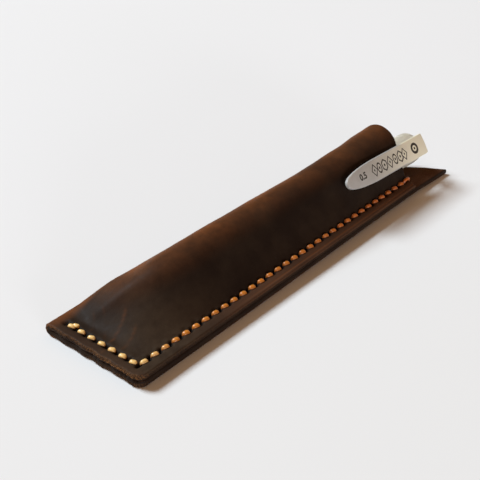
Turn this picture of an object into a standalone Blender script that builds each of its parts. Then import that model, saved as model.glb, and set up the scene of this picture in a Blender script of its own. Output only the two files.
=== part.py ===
"""Folded leather pen sleeve with a capped gel pen inside it.

The sleeve is one leather blank, folded along its long back edge and saddle-stitched along the foot and
the long front edge. The back panel runs on past the mouth as a slanted tongue. The pen lies in the
sleeve with its cap at the mouth and its clip over the front panel.

All lengths are in millimetres, and MM turns them into Blender's metres. The seam frame has its origin
below the stitch hole in the foot's front corner: +X runs along the sleeve to the mouth, +Y from the
long seam to the fold, and Z is the height above the table. The finished part is moved so that the
origin is the centre of its box's underside.
"""

import bmesh
import bpy
from math import acos, atan2, ceil, cos, pi, radians, sin, sqrt
from mathutils import Matrix, Vector

MM = 0.001

# Leather blank
LEATHER = 2.0
LAYER_GAP = 0.2
SEAM_MARGIN = 3.9
FOOT_MARGIN = 3.5
FLAT_WIDTH = 37.2
MOUTH_X = 130.0
MOUTH_SLANT = 0.12
TONGUE_TIP_X = 152.0
TONGUE_SLANT = 0.62
CORNER_RADIUS = 2.6
STATIONS = 24
STATION_EASE = 1.5
LINE_PITCH = 2.6

# Sleeve's cross section: height above the table, and radii of the mid surface
FLAT_HEIGHT = 2.0 * LEATHER + LAYER_GAP
HEIGHTS = ((2.6, FLAT_HEIGHT), (9.0, 8.1), (15.0, 11.6), (21.0, 14.0), (27.0, 15.5), (45.0, 16.4),
           (75.0, 17.5), (112.0, 19.7), (132.0, 20.9))
WALL_SLOPES = ((2.6, radians(34.0)), (22.0, radians(40.0)), (32.0, radians(42.5)), (45.0, radians(43.5)),
               (76.0, radians(50.0)), (112.0, radians(60.0)), (132.0, radians(62.0)))
WALL_START = 1.5
FLAT_RADIUS = 0.5 * (LEATHER + LAYER_GAP)
BLANK_WIDTH = 2.0 * (FLAT_WIDTH - 0.5 * LEATHER - FLAT_RADIUS) + pi * FLAT_RADIUS
TOP_RADIUS = 7.0
TOP_FULL_X = 32.0
FLAT_TOP_Y = 24.0
FOLD_NEAREST_Y = 12.0
FOLD_RADII = ((2.6, FLAT_RADIUS), (20.0, 4.4), (60.0, 5.4), (MOUTH_X, 6.2))
SOLE_START = 4.0
TILT = radians(13.0)
TILT_START_X = 20.0
TILT_FULL_X = 118.0
RIM_LIFT = 0.5
WALL_BEND = 1.2
SOLE_BEND = 4.0
LOWER_BEND = 1.5
ARC_STEPS = 16
BEND_STEPS = 4
FOLD_STEPS = 5
EDGE_LINES = (0.0, 0.5, 1.2, 2.3)
WALL_LINE_STEP = 1.2

# Stitches
PITCH = 4.0
LONG_HOLES = 32
FOOT_HOLES = 7
THREAD_RADIUS = 0.3
PASS_OFFSET = 0.5
SLOT_LENGTH = 2.4
SLOT_WIDTH = 1.1
SLOT_TURN = radians(45.0)
STITCH_RISE = 0.4
GROOVE_DEPTH = 0.85
GROOVE_HALF_WIDTH = 0.95
GROOVE_OVERRUN = 0.6
THREAD_TURN = 0.5
STITCH_TOP = FLAT_RADIUS + 0.5 * LEATHER + STITCH_RISE
STITCH_BOTTOM = GROOVE_DEPTH - STITCH_RISE - FLAT_RADIUS - 0.5 * LEATHER
WRAP_X = MOUTH_X + 1.3

# Pen: its own frame starts at the rear end, with the axis along +X and the ball at the front. In the
# sleeve it lies slightly across, and PEN_AXIS_Y is where its axis passes the mouth
PEN_REAR_X = 22.0
PEN_AXIS_Z = LEATHER + 6.1
PEN_AXIS_Y = 11.0
PEN_YAW = radians(4.0)
PEN_LENGTH = 126.0
BARREL_RADIUS = 4.7
BARREL_BORE = 4.1
BARREL_START = 4.0
BARREL_END = 90.0
NECK_START = 64.0
NECK_RADIUS = 4.4
NECK_BORE = 3.6
PLUG_END = 9.0
PLUG_FACE_RADIUS = 2.9
PLUG_RIM_RADIUS = 4.5
GRIP_RADIUS = 4.9
GRIP_BORE = 4.55
CAP_RADIUS = 5.75
CAP_BORE = 5.15
CAP_START = 69.0
CAP_WALL = 1.0
CAP_END_WALL = 1.6
CAP_TAPER_START = 95.0
GRIP_END = 88.0
NOSE_END = 111.0
NOSE_RADIUS = 1.75
NOSE_BORE = 1.35
NOSE_SEAT = 8.0
TUBE_START = 12.0
TUBE_END = NOSE_END - 14.5
TUBE_RADIUS = 3.0
TUBE_BORE = 2.4
FOLLOWER_START = 23.0
INK_START = 30.0
SOCKET_DEPTH = 5.7
SOCKET_BORE = 0.9
SOCKET_FLANGE = 2.7
TIP_DEPTH = 2.0
TIP_STEM_RADIUS = 0.6
TIP_RADIUS = 1.05
BALL_RADIUS = 0.25
SEAL_RADIUS = 2.6
FIT = 0.3
ROUND_STEPS = 24
FINE_STEPS = 16
BALL_STEPS = 12

# Clip
CLIP_ROLL = radians(35.0)
CLIP_WIDTH = 7.4
CLIP_THICKNESS = 1.2
CLIP_LENGTH = 46.0
CLIP_UNDERSIDE = 8.8
CLIP_OPENING = radians(3.0)
CLIP_ROOT_X = PEN_LENGTH - 3.2
CLIP_CORNER = 0.8
CLIP_POINT_START = 0.62 * CLIP_LENGTH
CLIP_POINT_FULLNESS = 0.75
CLIP_POINT_STEPS = 8
ROOT_LENGTH = 3.6
ROOT_WIDTH = 5.4
ROOT_INSET = 0.4


def lerp(start, end, share):
    """Blends two values."""
    return start + (end - start) * share


def ease(value, start, end):
    """Rises smoothly from 0 to 1 while value goes from start to end."""
    share = min(max((value - start) / (end - start), 0.0), 1.0)
    return share * share * (3.0 - 2.0 * share)


def profile(x, stations):
    """Smooth curve through stations of (x, value), level before the first and after the last."""
    if x <= stations[0][0]:
        return stations[0][1]
    if x >= stations[-1][0]:
        return stations[-1][1]
    rises = [(z1 - z0) / (x1 - x0) for (x0, z0), (x1, z1) in zip(stations, stations[1:])]
    slopes = [0.0] + [0.5 * (before + after) for before, after in zip(rises, rises[1:])] + [rises[-1]]
    index = max(place for place, station in enumerate(stations) if station[0] < x)
    x0, z0 = stations[index]
    x1, z1 = stations[index + 1]
    share = (x - x0) / (x1 - x0)
    bend = share * share * (3.0 - 2.0 * share)
    leaving = share * (1.0 - share) ** 2 * (x1 - x0) * slopes[index]
    arriving = share * share * (share - 1.0) * (x1 - x0) * slopes[index + 1]
    return lerp(z0, z1, bend) + leaving + arriving


def seam_line(x):
    """Point midway between the two layers on the stitch line, with the inward and the normal direction."""
    share = ease(x, TILT_START_X, TILT_FULL_X) * (1.0 - ease(x, MOUTH_X, TONGUE_TIP_X))
    tilt = TILT * share
    inward = Vector((cos(tilt), sin(tilt)))
    normal = Vector((-sin(tilt), cos(tilt)))
    half = FLAT_RADIUS + 0.5 * LEATHER
    height = RIM_LIFT * share + SEAM_MARGIN * sin(tilt) + half * cos(tilt)
    return Vector((0.0, height)), inward, normal


def outer_tangent(centre0, radius0, centre1, radius1):
    """Angle of the normal of the straight run that leaves one pulley for the next, on their left side."""
    run = centre1 - centre0
    return atan2(run.y, run.x) + acos((radius0 - radius1) / run.length)


def arc(centre, radius, start, end, steps):
    """Points along an arc, both ends included."""
    angles = [lerp(start, end, step / steps) for step in range(steps + 1)]
    return [centre + radius * Vector((cos(angle), sin(angle))) for angle in angles]


def rounded(before, corner, after, radius, steps):
    """Points of the arc that rounds off a corner."""
    back = (before - corner).normalized()
    ahead = (after - corner).normalized()
    half_angle = 0.5 * back.angle(ahead)
    if half_angle > 0.5 * pi - 0.01:
        return [corner]
    reach = radius / (sin(half_angle) / cos(half_angle))
    centre = corner + (back + ahead).normalized() * radius / sin(half_angle)
    start = corner + back * reach
    end = corner + ahead * reach
    points = []
    for step in range(steps + 1):
        direction = (start - centre).lerp(end - centre, step / steps).normalized()
        points.append(centre + radius * direction)
    return points


def section_through(x, fold_y):
    """Middle line of the leather at x: upper edge, wall, top, fold, sole and lower edge."""
    seam, inward, normal = seam_line(x)
    opened = ease(x, HEIGHTS[0][0], TOP_FULL_X)
    start = seam + WALL_START * inward + FLAT_RADIUS * normal
    lower_start = seam + WALL_START * inward - FLAT_RADIUS * normal

    top_radius = lerp(FLAT_RADIUS, TOP_RADIUS, opened)
    top_z = profile(x, HEIGHTS) - 0.5 * LEATHER - top_radius
    slope = profile(x, WALL_SLOPES)
    reach = (top_z - start.y + top_radius * cos(slope)) / sin(slope)
    wall_y = start.x + reach * cos(slope) + top_radius * sin(slope)
    top = Vector((lerp(FLAT_TOP_Y, wall_y, opened), top_z))

    fold_radius = profile(x, FOLD_RADII)
    fold = Vector((fold_y, 0.5 * LEATHER + fold_radius))
    wall_normal = outer_tangent(start, 0.0, top, top_radius)
    roof_normal = outer_tangent(top, top_radius, fold, fold_radius)
    top_arc = arc(top, top_radius, wall_normal, roof_normal, ARC_STEPS)
    fold_arc = arc(fold, fold_radius, roof_normal, -0.5 * pi, ARC_STEPS)

    sole = Vector((WALL_START + SOLE_START, 0.5 * LEATHER))
    upper_edge = seam - SEAM_MARGIN * inward + FLAT_RADIUS * normal
    lower_edge = seam - SEAM_MARGIN * inward - FLAT_RADIUS * normal
    return (
        [upper_edge]
        + rounded(upper_edge, start, top_arc[0], WALL_BEND, BEND_STEPS)
        + top_arc
        + fold_arc
        + rounded(fold_arc[-1], sole, lower_start, SOLE_BEND, BEND_STEPS)
        + rounded(sole, lower_start, lower_edge, LOWER_BEND, BEND_STEPS)
        + [lower_edge]
    )


def length_of(points):
    """Length of a run of points."""
    return sum((after - before).length for before, after in zip(points, points[1:]))


def grid_lines():
    """Distances from the blank's upper edge of the lines that run along the sleeve."""
    half = 0.5 * BLANK_WIDTH
    bend = 0.5 * pi * FLAT_RADIUS
    wall = SEAM_MARGIN + WALL_START
    lines = [*EDGE_LINES, SEAM_MARGIN, wall, wall + WALL_LINE_STEP, wall + 2.0 * WALL_LINE_STEP]
    start = lines[-1]
    steps = ceil((half - bend - start) / LINE_PITCH)
    lines += [lerp(start, half - bend, step / steps) for step in range(1, steps)]
    lines += [half + bend * step / FOLD_STEPS for step in range(-FOLD_STEPS, 0)]
    return lines + [half] + [BLANK_WIDTH - line for line in reversed(lines)]


def resampled(points, stops):
    """Points at the given distances along a run of points."""
    result = []
    index = 0
    run = 0.0
    for stop in stops:
        step = (points[index + 1] - points[index]).length
        while run + step < stop and index < len(points) - 2:
            run += step
            index += 1
            step = (points[index + 1] - points[index]).length
        result.append(points[index].lerp(points[index + 1], min((stop - run) / step, 1.0)))
    return result


def section_at(x, lines):
    """Middle line at x, with the fold where the blank's width, which never changes, takes it."""
    opened = ease(x, HEIGHTS[0][0], TOP_FULL_X)
    nearest = lerp(FLAT_TOP_Y, FOLD_NEAREST_Y, opened) + 2.0
    farthest = FLAT_WIDTH
    while farthest - nearest > 1e-4:
        middle = 0.5 * (nearest + farthest)
        if length_of(section_through(x, middle)) < BLANK_WIDTH:
            nearest = middle
        else:
            farthest = middle
    return resampled(section_through(x, nearest), lines)


def blank_ends(line):
    """Foot end and mouth end of the blank at a distance from its upper edge."""
    from_edge = min(line, BLANK_WIDTH - line)
    cut = max(CORNER_RADIUS - from_edge, 0.0)
    foot = -FOOT_MARGIN + CORNER_RADIUS - sqrt(CORNER_RADIUS ** 2 - cut ** 2)
    mouth = MOUTH_X + MOUTH_SLANT * min(line, 0.5 * BLANK_WIDTH)
    if line > 0.5 * BLANK_WIDTH:
        mouth = max(mouth, TONGUE_TIP_X - TONGUE_SLANT * from_edge)
    return foot, mouth


def in_part(x, y, z):
    """Turns a point of the seam frame into one of the finished part's frame, in metres."""
    tilted_edge = SEAM_MARGIN * cos(TILT) + (FLAT_RADIUS + 0.5 * LEATHER) * sin(TILT)
    centre_x = 0.5 * (TONGUE_TIP_X - FOOT_MARGIN)
    centre_y = 0.5 * (FLAT_WIDTH - SEAM_MARGIN - tilted_edge)
    return Vector((x - centre_x, y - centre_y, z)) * MM


def clear_scene():
    """Removes every object of the open scene."""
    for item in list(bpy.data.objects):
        bpy.data.objects.remove(item)


def finish(name, colour, roughness, metallic=0.0):
    """Makes a plain material."""
    material = bpy.data.materials.new(name)
    material.use_nodes = True
    shader = material.node_tree.nodes["Principled BSDF"]
    shader.inputs["Base Color"].default_value = (*colour, 1.0)
    shader.inputs["Roughness"].default_value = roughness
    shader.inputs["Metallic"].default_value = metallic
    return material


def add_object(name, data, material, parent=None):
    """Links a new object that has one material."""
    item = bpy.data.objects.new(name, data)
    data.materials.append(material)
    bpy.context.collection.objects.link(item)
    item.parent = parent
    return item


def mesh_from(name, shape):
    """Turns a bmesh into a mesh with its faces outward and its round sides smooth."""
    bmesh.ops.recalc_face_normals(shape, faces=shape.faces)
    mesh = bpy.data.meshes.new(name)
    shape.to_mesh(mesh)
    shape.free()
    mesh.shade_smooth()
    mesh.set_sharp_from_angle(angle=radians(40.0))
    return mesh


def hide_cutter(item):
    """Marks an object as a cutter, which is not a piece of the part."""
    item.hide_render = True
    item.display_type = "WIRE"


def cut(item, cutter):
    """Cuts one object out of another."""
    modifier = item.modifiers.new(cutter.name, "BOOLEAN")
    modifier.operation = "DIFFERENCE"
    modifier.solver = "EXACT"
    modifier.object = cutter


def leather_surface():
    """Middle surface of the folded blank, as a grid of sections."""
    lines = grid_lines()
    ends = [blank_ends(line) for line in lines]
    shape = bmesh.new()
    rows = []
    for station in range(STATIONS + 1):
        share = (station / STATIONS) ** STATION_EASE
        row = []
        for line, (foot, mouth) in zip(lines, ends):
            x = lerp(foot, mouth, share)
            point = section_at(x, [line])[0]
            row.append(shape.verts.new(in_part(x, point.x, point.y)))
        rows.append(row)
    for row, following in zip(rows, rows[1:]):
        for index in range(len(row) - 1):
            shape.faces.new((row[index], following[index], following[index + 1], row[index + 1]))
    mesh = bpy.data.meshes.new("leather_body")
    shape.to_mesh(mesh)
    shape.free()
    mesh.shade_smooth()
    return mesh


def stitch_holes():
    """Holes along the seam, foot row first: place, layer normal and the directions in and out."""
    foot_ys = [PITCH * step for step in range(FOOT_HOLES, -1, -1)]
    places = [(0.0, y) for y in foot_ys]
    places += [(PITCH * step, 0.0) for step in range(1, LONG_HOLES + 1)]
    holes = []
    for index, (x, y) in enumerate(places):
        seam, _, normal = seam_line(x)
        centre = Vector((x, y, seam.y))
        upward = Vector((0.0, normal.x, normal.y))
        arriving = Vector((0.0, -1.0, 0.0)) if 0 < index <= FOOT_HOLES else Vector((1.0, 0.0, 0.0))
        leaving = Vector((0.0, -1.0, 0.0)) if index < FOOT_HOLES else Vector((1.0, 0.0, 0.0))
        if index == 0:
            arriving = leaving
        along = (arriving + leaving).normalized()
        slot = Matrix.Rotation(SLOT_TURN, 3, upward) @ along
        holes.append((centre, upward, arriving, leaving, slot))
    return holes


def wrap_hole():
    """Hole in the back panel, just past the front panel's mouth edge."""
    seam, inward, normal = seam_line(WRAP_X)
    upward = Vector((0.0, normal.x, normal.y))
    along = Vector((1.0, 0.0, 0.0))
    return Vector((WRAP_X, 0.0, seam.y)), upward, along, along, Vector((0.0, inward.x, inward.y))


def add_box(shape, centre, sides):
    """Adds a box from its centre and its three half sides, all in the seam frame."""
    corners = []
    for along in (-1, 1):
        for across in (-1, 1):
            for up in (-1, 1):
                point = centre + along * sides[0] + across * sides[1] + up * sides[2]
                corners.append(shape.verts.new(in_part(*point)))
    for face in ((0, 1, 3, 2), (4, 6, 7, 5), (0, 4, 5, 1), (2, 3, 7, 6), (0, 2, 6, 4), (1, 5, 7, 3)):
        shape.faces.new([corners[index] for index in face])


def slot_cutter():
    """Slanted slots through both layers, one at each stitch hole."""
    shape = bmesh.new()
    depth = FLAT_HEIGHT
    for centre, upward, arriving, leaving, slot in stitch_holes() + [wrap_hole()]:
        across = upward.cross(slot)
        sides = (0.5 * SLOT_LENGTH * slot, 0.5 * SLOT_WIDTH * across, depth * upward)
        add_box(shape, centre, sides)
    red = finish("cutter", (1.0, 0.0, 0.0), 0.5)
    cutter = add_object("slot_cutter", mesh_from("slot_cutter", shape), red)
    hide_cutter(cutter)
    return cutter


def groove_frames():
    """Sole-side groove's line: from the foot row's end to the corner, then along the long seam."""
    sole_z = seam_line(0.0)[0].y - FLAT_RADIUS - 0.5 * LEATHER
    end_y = PITCH * FOOT_HOLES + GROOVE_HALF_WIDTH + GROOVE_OVERRUN
    upward = Vector((0.0, 0.0, 1.0))
    mitre = Vector((-1.0, -1.0, 0.0))
    frames = [
        (Vector((0.0, end_y, sole_z)), Vector((-1.0, 0.0, 0.0)), upward),
        (Vector((0.0, 0.0, sole_z)), mitre, upward),
    ]
    x = 3.0 * PITCH
    while x < WRAP_X:
        frames.append(groove_frame(x))
        x += 2.0 * PITCH
    frames.append(groove_frame(WRAP_X + GROOVE_HALF_WIDTH + GROOVE_OVERRUN))
    return frames


def groove_frame(x):
    """Groove's middle on the sole side at x, with its sideways and its inward direction."""
    seam, inward, normal = seam_line(x)
    upward = Vector((0.0, normal.x, normal.y))
    sideways = -Vector((0.0, inward.x, inward.y))
    centre = Vector((x, 0.0, seam.y)) - (FLAT_RADIUS + 0.5 * LEATHER) * upward
    return centre, sideways, upward


def groove_cutter():
    """Shallow groove on the sole side, which the lower stitches lie in."""
    shape = bmesh.new()
    rings = []
    for centre, sideways, upward in groove_frames():
        ring = []
        for side, rise in ((-1, -1.0), (1, -1.0), (1, GROOVE_DEPTH), (-1, GROOVE_DEPTH)):
            point = centre + side * GROOVE_HALF_WIDTH * sideways + rise * upward
            ring.append(shape.verts.new(in_part(*point)))
        rings.append(ring)
    for ring, following in zip(rings, rings[1:]):
        for index in range(4):
            other = (index + 1) % 4
            shape.faces.new((ring[index], ring[other], following[other], following[index]))
    shape.faces.new(rings[0])
    shape.faces.new(list(reversed(rings[-1])))
    red = finish("cutter", (1.0, 0.0, 0.0), 0.5)
    cutter = add_object("groove_cutter", mesh_from("groove_cutter", shape), red)
    hide_cutter(cutter)
    return cutter


def build_leather():
    """Folded blank, with the stitch slots and the groove cut out of it."""
    body = add_object("leather_body", leather_surface(), finish("waxed_leather", (0.035, 0.018, 0.012), 0.5))
    thickness = body.modifiers.new("thickness", "SOLIDIFY")
    thickness.thickness = LEATHER * MM
    thickness.offset = 0.0
    thickness.use_even_offset = True
    cut(body, slot_cutter())
    cut(body, groove_cutter())


def thread_run(holes, side):
    """One needle's way along the seam, above and below the leather by turns."""
    points = []
    for index, (centre, upward, arriving, leaving, slot) in enumerate(holes):
        place = centre + side * PASS_OFFSET * slot
        falls = (index % 2 == 1) == (side < 0)
        enter, leave = (STITCH_TOP, STITCH_BOTTOM) if falls else (STITCH_BOTTOM, STITCH_TOP)
        enter_turn = THREAD_TURN if falls else -THREAD_TURN
        if index:
            points.append(place + enter * upward - THREAD_TURN * arriving)
        points.append(place + (enter - enter_turn) * upward)
        points.append(place + (leave + enter_turn) * upward)
        if index < len(holes) - 1:
            points.append(place + leave * upward + THREAD_TURN * leaving)
    return points


def build_thread():
    """Saddle-stitched thread: out with one needle, round the mouth edge, and back with the other."""
    holes = stitch_holes()
    outward = thread_run(holes, -1)
    homeward = thread_run(holes, 1)
    centre, upward, _, leaving, _ = wrap_hole()
    last_centre, last_upward, _, _, last_slot = holes[-1]
    low_side = last_centre - PASS_OFFSET * last_slot
    high_side = last_centre + PASS_OFFSET * last_slot
    wrap = [
        low_side + STITCH_BOTTOM * last_upward + THREAD_TURN * leaving,
        centre + STITCH_BOTTOM * upward - THREAD_TURN * leaving,
        centre + (STITCH_BOTTOM + THREAD_TURN) * upward,
        centre + (STITCH_TOP - THREAD_TURN) * upward,
        centre + STITCH_TOP * upward - THREAD_TURN * leaving,
        high_side + STITCH_TOP * last_upward + THREAD_TURN * leaving,
    ]
    route = outward + wrap + list(reversed(homeward))
    curve = bpy.data.curves.new("seam_thread", "CURVE")
    curve.dimensions = "3D"
    curve.bevel_depth = THREAD_RADIUS * MM
    curve.bevel_resolution = 1
    curve.use_fill_caps = True
    spline = curve.splines.new("POLY")
    spline.points.add(len(route) - 1)
    for point, place in zip(spline.points, route):
        point.co = (*in_part(*place), 1.0)
    add_object("seam_thread", curve, finish("waxed_thread", (0.62, 0.33, 0.10), 0.45))


def add_empty(name, location, parent=None, turn=None):
    """Adds an empty that a moving piece hangs on."""
    empty = bpy.data.objects.new(name, None)
    empty.empty_display_size = 0.01
    empty.location = location
    empty.parent = parent
    if turn is not None:
        empty.rotation_euler = turn
    bpy.context.collection.objects.link(empty)
    return empty


def turned(name, profile, material, parent, offset=0.0, closed=True, steps=ROUND_STEPS):
    """Turns a profile of (x, radius) points about the pen's axis."""
    shape = bmesh.new()
    corners = [shape.verts.new(Vector((x - offset, 0.0, radius)) * MM) for x, radius in profile]
    pairs = list(zip(corners, corners[1:]))
    if closed:
        pairs.append((corners[-1], corners[0]))
    edges = [shape.edges.new(pair) for pair in pairs]
    bmesh.ops.spin(
        shape, geom=corners + edges, cent=(0.0, 0.0, 0.0), axis=(1.0, 0.0, 0.0),
        angle=2.0 * pi, steps=steps, use_merge=True,
    )
    bmesh.ops.remove_doubles(shape, verts=shape.verts, dist=1e-7)
    return add_object(name, mesh_from(name, shape), material, parent)


def build_barrel(pen):
    """Barrel, its rear plug, the rubber grip and the nose cone."""
    frosted = finish("frosted_plastic", (0.72, 0.70, 0.66), 0.4)
    turned("pen_barrel", [
        (BARREL_START, BARREL_RADIUS), (NECK_START, BARREL_RADIUS), (NECK_START, NECK_RADIUS),
        (BARREL_END, NECK_RADIUS), (BARREL_END, NECK_BORE), (NECK_START - 2.0, NECK_BORE),
        (NECK_START - 4.0, BARREL_BORE), (BARREL_START, BARREL_BORE),
    ], frosted, pen)
    plug_rim = BARREL_START - FIT
    turned("rear_plug", [
        (0.0, 0.0), (0.0, PLUG_FACE_RADIUS), (0.6, PLUG_FACE_RADIUS + 0.6), (plug_rim, PLUG_RIM_RADIUS),
        (plug_rim, BARREL_BORE - FIT), (PLUG_END, BARREL_BORE - FIT), (PLUG_END, 0.0),
    ], finish("plug_plastic", (0.05, 0.05, 0.06), 0.4), pen, closed=False)
    turned("grip_sleeve", [
        (NECK_START + FIT, GRIP_RADIUS), (GRIP_END - 1.0, GRIP_RADIUS), (GRIP_END, GRIP_RADIUS - 0.15),
        (GRIP_END, GRIP_BORE), (NECK_START + FIT, GRIP_BORE),
    ], finish("grip_rubber", (0.03, 0.03, 0.035), 0.8), pen)
    nose_start = GRIP_END + FIT
    nose_front = NOSE_END - 4.0
    turned("nose_cone", [
        (nose_start, GRIP_BORE), (nose_start, GRIP_RADIUS), (BARREL_END + 6.0, NECK_RADIUS),
        (nose_front - 3.0, NOSE_RADIUS + 0.55), (nose_front, NOSE_RADIUS), (nose_front, NOSE_BORE),
        (NOSE_END - NOSE_SEAT, NOSE_BORE + 0.2), (NOSE_END - NOSE_SEAT - 1.0, NOSE_BORE + 0.65),
        (BARREL_END + 5.5, NECK_BORE), (BARREL_END + FIT, NECK_BORE + 0.1), (BARREL_END + FIT, GRIP_BORE),
    ], frosted, pen)


def build_refill(pen):
    """Gel refill: tube, ink, grease follower, tip socket, metal tip and ball."""
    turned("refill_tube", [
        (TUBE_START, TUBE_RADIUS), (TUBE_END, TUBE_RADIUS), (TUBE_END, TUBE_BORE), (TUBE_START, TUBE_BORE),
    ], finish("tube_plastic", (0.60, 0.62, 0.62), 0.35), pen, steps=FINE_STEPS)
    filling = TUBE_BORE - FIT
    socket_start = TUBE_END - SOCKET_DEPTH
    turned("ink_column", [
        (INK_START + FIT, 0.0), (INK_START + FIT, filling),
        (socket_start - FIT, filling), (socket_start - FIT, 0.0),
    ], finish("gel_ink", (0.008, 0.008, 0.010), 0.3), pen, closed=False, steps=FINE_STEPS)
    turned("ink_follower", [
        (FOLLOWER_START, 0.0), (FOLLOWER_START, filling), (INK_START, filling), (INK_START, 0.0),
    ], finish("follower_grease", (0.55, 0.50, 0.30), 0.3), pen, closed=False, steps=FINE_STEPS)
    socket_end = TUBE_END + 3.5
    turned("tip_socket", [
        (socket_start, SOCKET_BORE), (socket_start, filling), (TUBE_END + FIT, filling),
        (TUBE_END + FIT, SOCKET_FLANGE), (TUBE_END + FIT + 1.0, SOCKET_FLANGE), (socket_end, NOSE_RADIUS),
        (socket_end, SOCKET_BORE),
    ], finish("socket_plastic", (0.75, 0.75, 0.74), 0.4), pen, steps=FINE_STEPS)
    tip_base = TUBE_END - TIP_DEPTH
    tip_step = socket_end + FIT
    tip_mouth = NOSE_END - 0.5
    turned("metal_tip", [
        (tip_base, 0.0), (tip_base, TIP_STEM_RADIUS), (tip_step, TIP_STEM_RADIUS), (tip_step, TIP_RADIUS),
        (NOSE_END - 3.7, TIP_RADIUS), (tip_mouth, 0.42), (tip_mouth, BALL_RADIUS + 0.05),
        (tip_mouth - 0.4, 0.0),
    ], finish("nickel_silver", (0.62, 0.58, 0.50), 0.25, 1.0), pen, closed=False, steps=FINE_STEPS)
    angles = [2.0 * pi * step / BALL_STEPS for step in range(BALL_STEPS // 2 + 1)]
    turned("tip_ball", [
        (NOSE_END - BALL_RADIUS - BALL_RADIUS * cos(angle), BALL_RADIUS * sin(angle)) for angle in angles
    ], finish("carbide", (0.35, 0.35, 0.36), 0.15, 1.0), pen, closed=False, steps=BALL_STEPS)


def build_cap(cap):
    """Cap with its closed end, and the soft seal inside it that the ball rests near."""
    end = PEN_LENGTH
    seal_end = end - CAP_END_WALL - FIT
    frosted = finish("cap_plastic", (0.80, 0.77, 0.72), 0.4)
    soft = finish("seal_elastomer", (0.45, 0.45, 0.43), 0.7)
    turned("pen_cap", [
        (end - CAP_END_WALL, 0.0), (end - CAP_END_WALL, CAP_BORE - CAP_WALL),
        (CAP_TAPER_START, CAP_BORE - FIT),
        (CAP_START, CAP_BORE), (CAP_START, CAP_RADIUS - 0.15), (CAP_START + 0.5, CAP_RADIUS),
        (end - 1.0, CAP_RADIUS - 0.1), (end, CAP_RADIUS - 1.0), (end, 0.0),
    ], frosted, cap, offset=CAP_START, closed=False)
    turned("cap_seal", [
        (NOSE_END + 0.5, 0.0), (NOSE_END + 0.5, SEAL_RADIUS), (seal_end, SEAL_RADIUS), (seal_end, 0.0),
    ], soft, cap, offset=CAP_START, closed=False, steps=FINE_STEPS)


def clip_outline():
    """Plate's outline from root to tip: parallel sides, and a long rounded point."""
    half = 0.5 * CLIP_WIDTH
    side = [(0.0, half - CLIP_CORNER), (CLIP_CORNER, half)]
    for step in range(CLIP_POINT_STEPS + 1):
        angle = 0.5 * pi * step / CLIP_POINT_STEPS
        reach = CLIP_POINT_START + (CLIP_LENGTH - CLIP_POINT_START) * sin(angle)
        side.append((reach, half * cos(angle) ** CLIP_POINT_FULLNESS))
    mirrored = [(x, -y) for x, y in reversed(side) if y > 1e-6]
    return side + mirrored


def build_clip(hinge):
    """Clip: a flat plate with a foot at the root and a rounded lug under the tip."""
    shape = bmesh.new()
    lift = CLIP_UNDERSIDE - CAP_RADIUS
    outline = [shape.verts.new(Vector((-x, y, lift)) * MM) for x, y in clip_outline()]
    face = shape.faces.new(outline)
    plate = bmesh.ops.extrude_face_region(shape, geom=[face])
    raised = [item for item in plate["geom"] if isinstance(item, bmesh.types.BMVert)]
    bmesh.ops.translate(shape, vec=Vector((0.0, 0.0, CLIP_THICKNESS * MM)), verts=raised)
    frosted = finish("clip_plastic", (0.82, 0.80, 0.75), 0.35)
    clip = add_object("cap_clip", mesh_from("cap_clip", shape), frosted, hinge)

    root = bmesh.new()
    bmesh.ops.create_cube(root, size=1.0)
    size = Vector((ROOT_LENGTH, ROOT_WIDTH, lift - FIT + ROOT_INSET)) * MM
    middle = Vector((-0.5 * ROOT_LENGTH - ROOT_INSET, 0.0, 0.5 * (lift + FIT + ROOT_INSET))) * MM
    bmesh.ops.scale(root, vec=size, verts=root.verts)
    bmesh.ops.translate(root, vec=middle, verts=root.verts)
    root_block = add_object("clip_root", mesh_from("clip_root", root), clip.data.materials[0], hinge)
    hide_cutter(root_block)
    join(clip, root_block)


def join(item, addition):
    """Makes one solid of two."""
    modifier = item.modifiers.new(addition.name, "BOOLEAN")
    modifier.operation = "UNION"
    modifier.solver = "EXACT"
    modifier.object = addition


def build_pen():
    """Pen on its slide, cap on its own slide, and clip on its hinge."""
    rear_y = PEN_AXIS_Y + (MOUTH_X - PEN_REAR_X) * sin(PEN_YAW) / cos(PEN_YAW)
    pen = add_empty("pen_slide", in_part(PEN_REAR_X, rear_y, PEN_AXIS_Z), turn=(0.0, 0.0, -PEN_YAW))
    build_barrel(pen)
    build_refill(pen)
    cap = add_empty("cap_slide", Vector((CAP_START * MM, 0.0, 0.0)), pen)
    build_cap(cap)
    root = Vector(((CLIP_ROOT_X - CAP_START) * MM, 0.0, 0.0))
    roll = add_empty("clip_roll", root, cap, (0.5 * pi - CLIP_ROLL, 0.0, 0.0))
    hinge = add_empty("clip_hinge", Vector((0.0, 0.0, CAP_RADIUS * MM)), roll, (0.0, CLIP_OPENING, 0.0))
    build_clip(hinge)


def main():
    """Builds the sleeve and the pen."""
    clear_scene()
    build_leather()
    build_thread()
    build_pen()


main()
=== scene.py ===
"""Folded leather pen sleeve with a capped gel pen in it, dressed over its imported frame.

The seam frame is in millimetres. Its origin is on the table below the stitch hole in the foot's front
corner: +X runs along the sleeve to the mouth, +Y from the long seam to the fold, and +Z up. The pen
frame starts at the pen's rear end, with the pen's axis along +X.
"""

import logging
from dataclasses import dataclass, field
from enum import Enum
from math import acos, atan2, cos, pi, radians, sin, sqrt
from typing import Optional, Sequence, Union

import bpy
import numpy as np
from mathutils import Matrix, Vector


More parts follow.
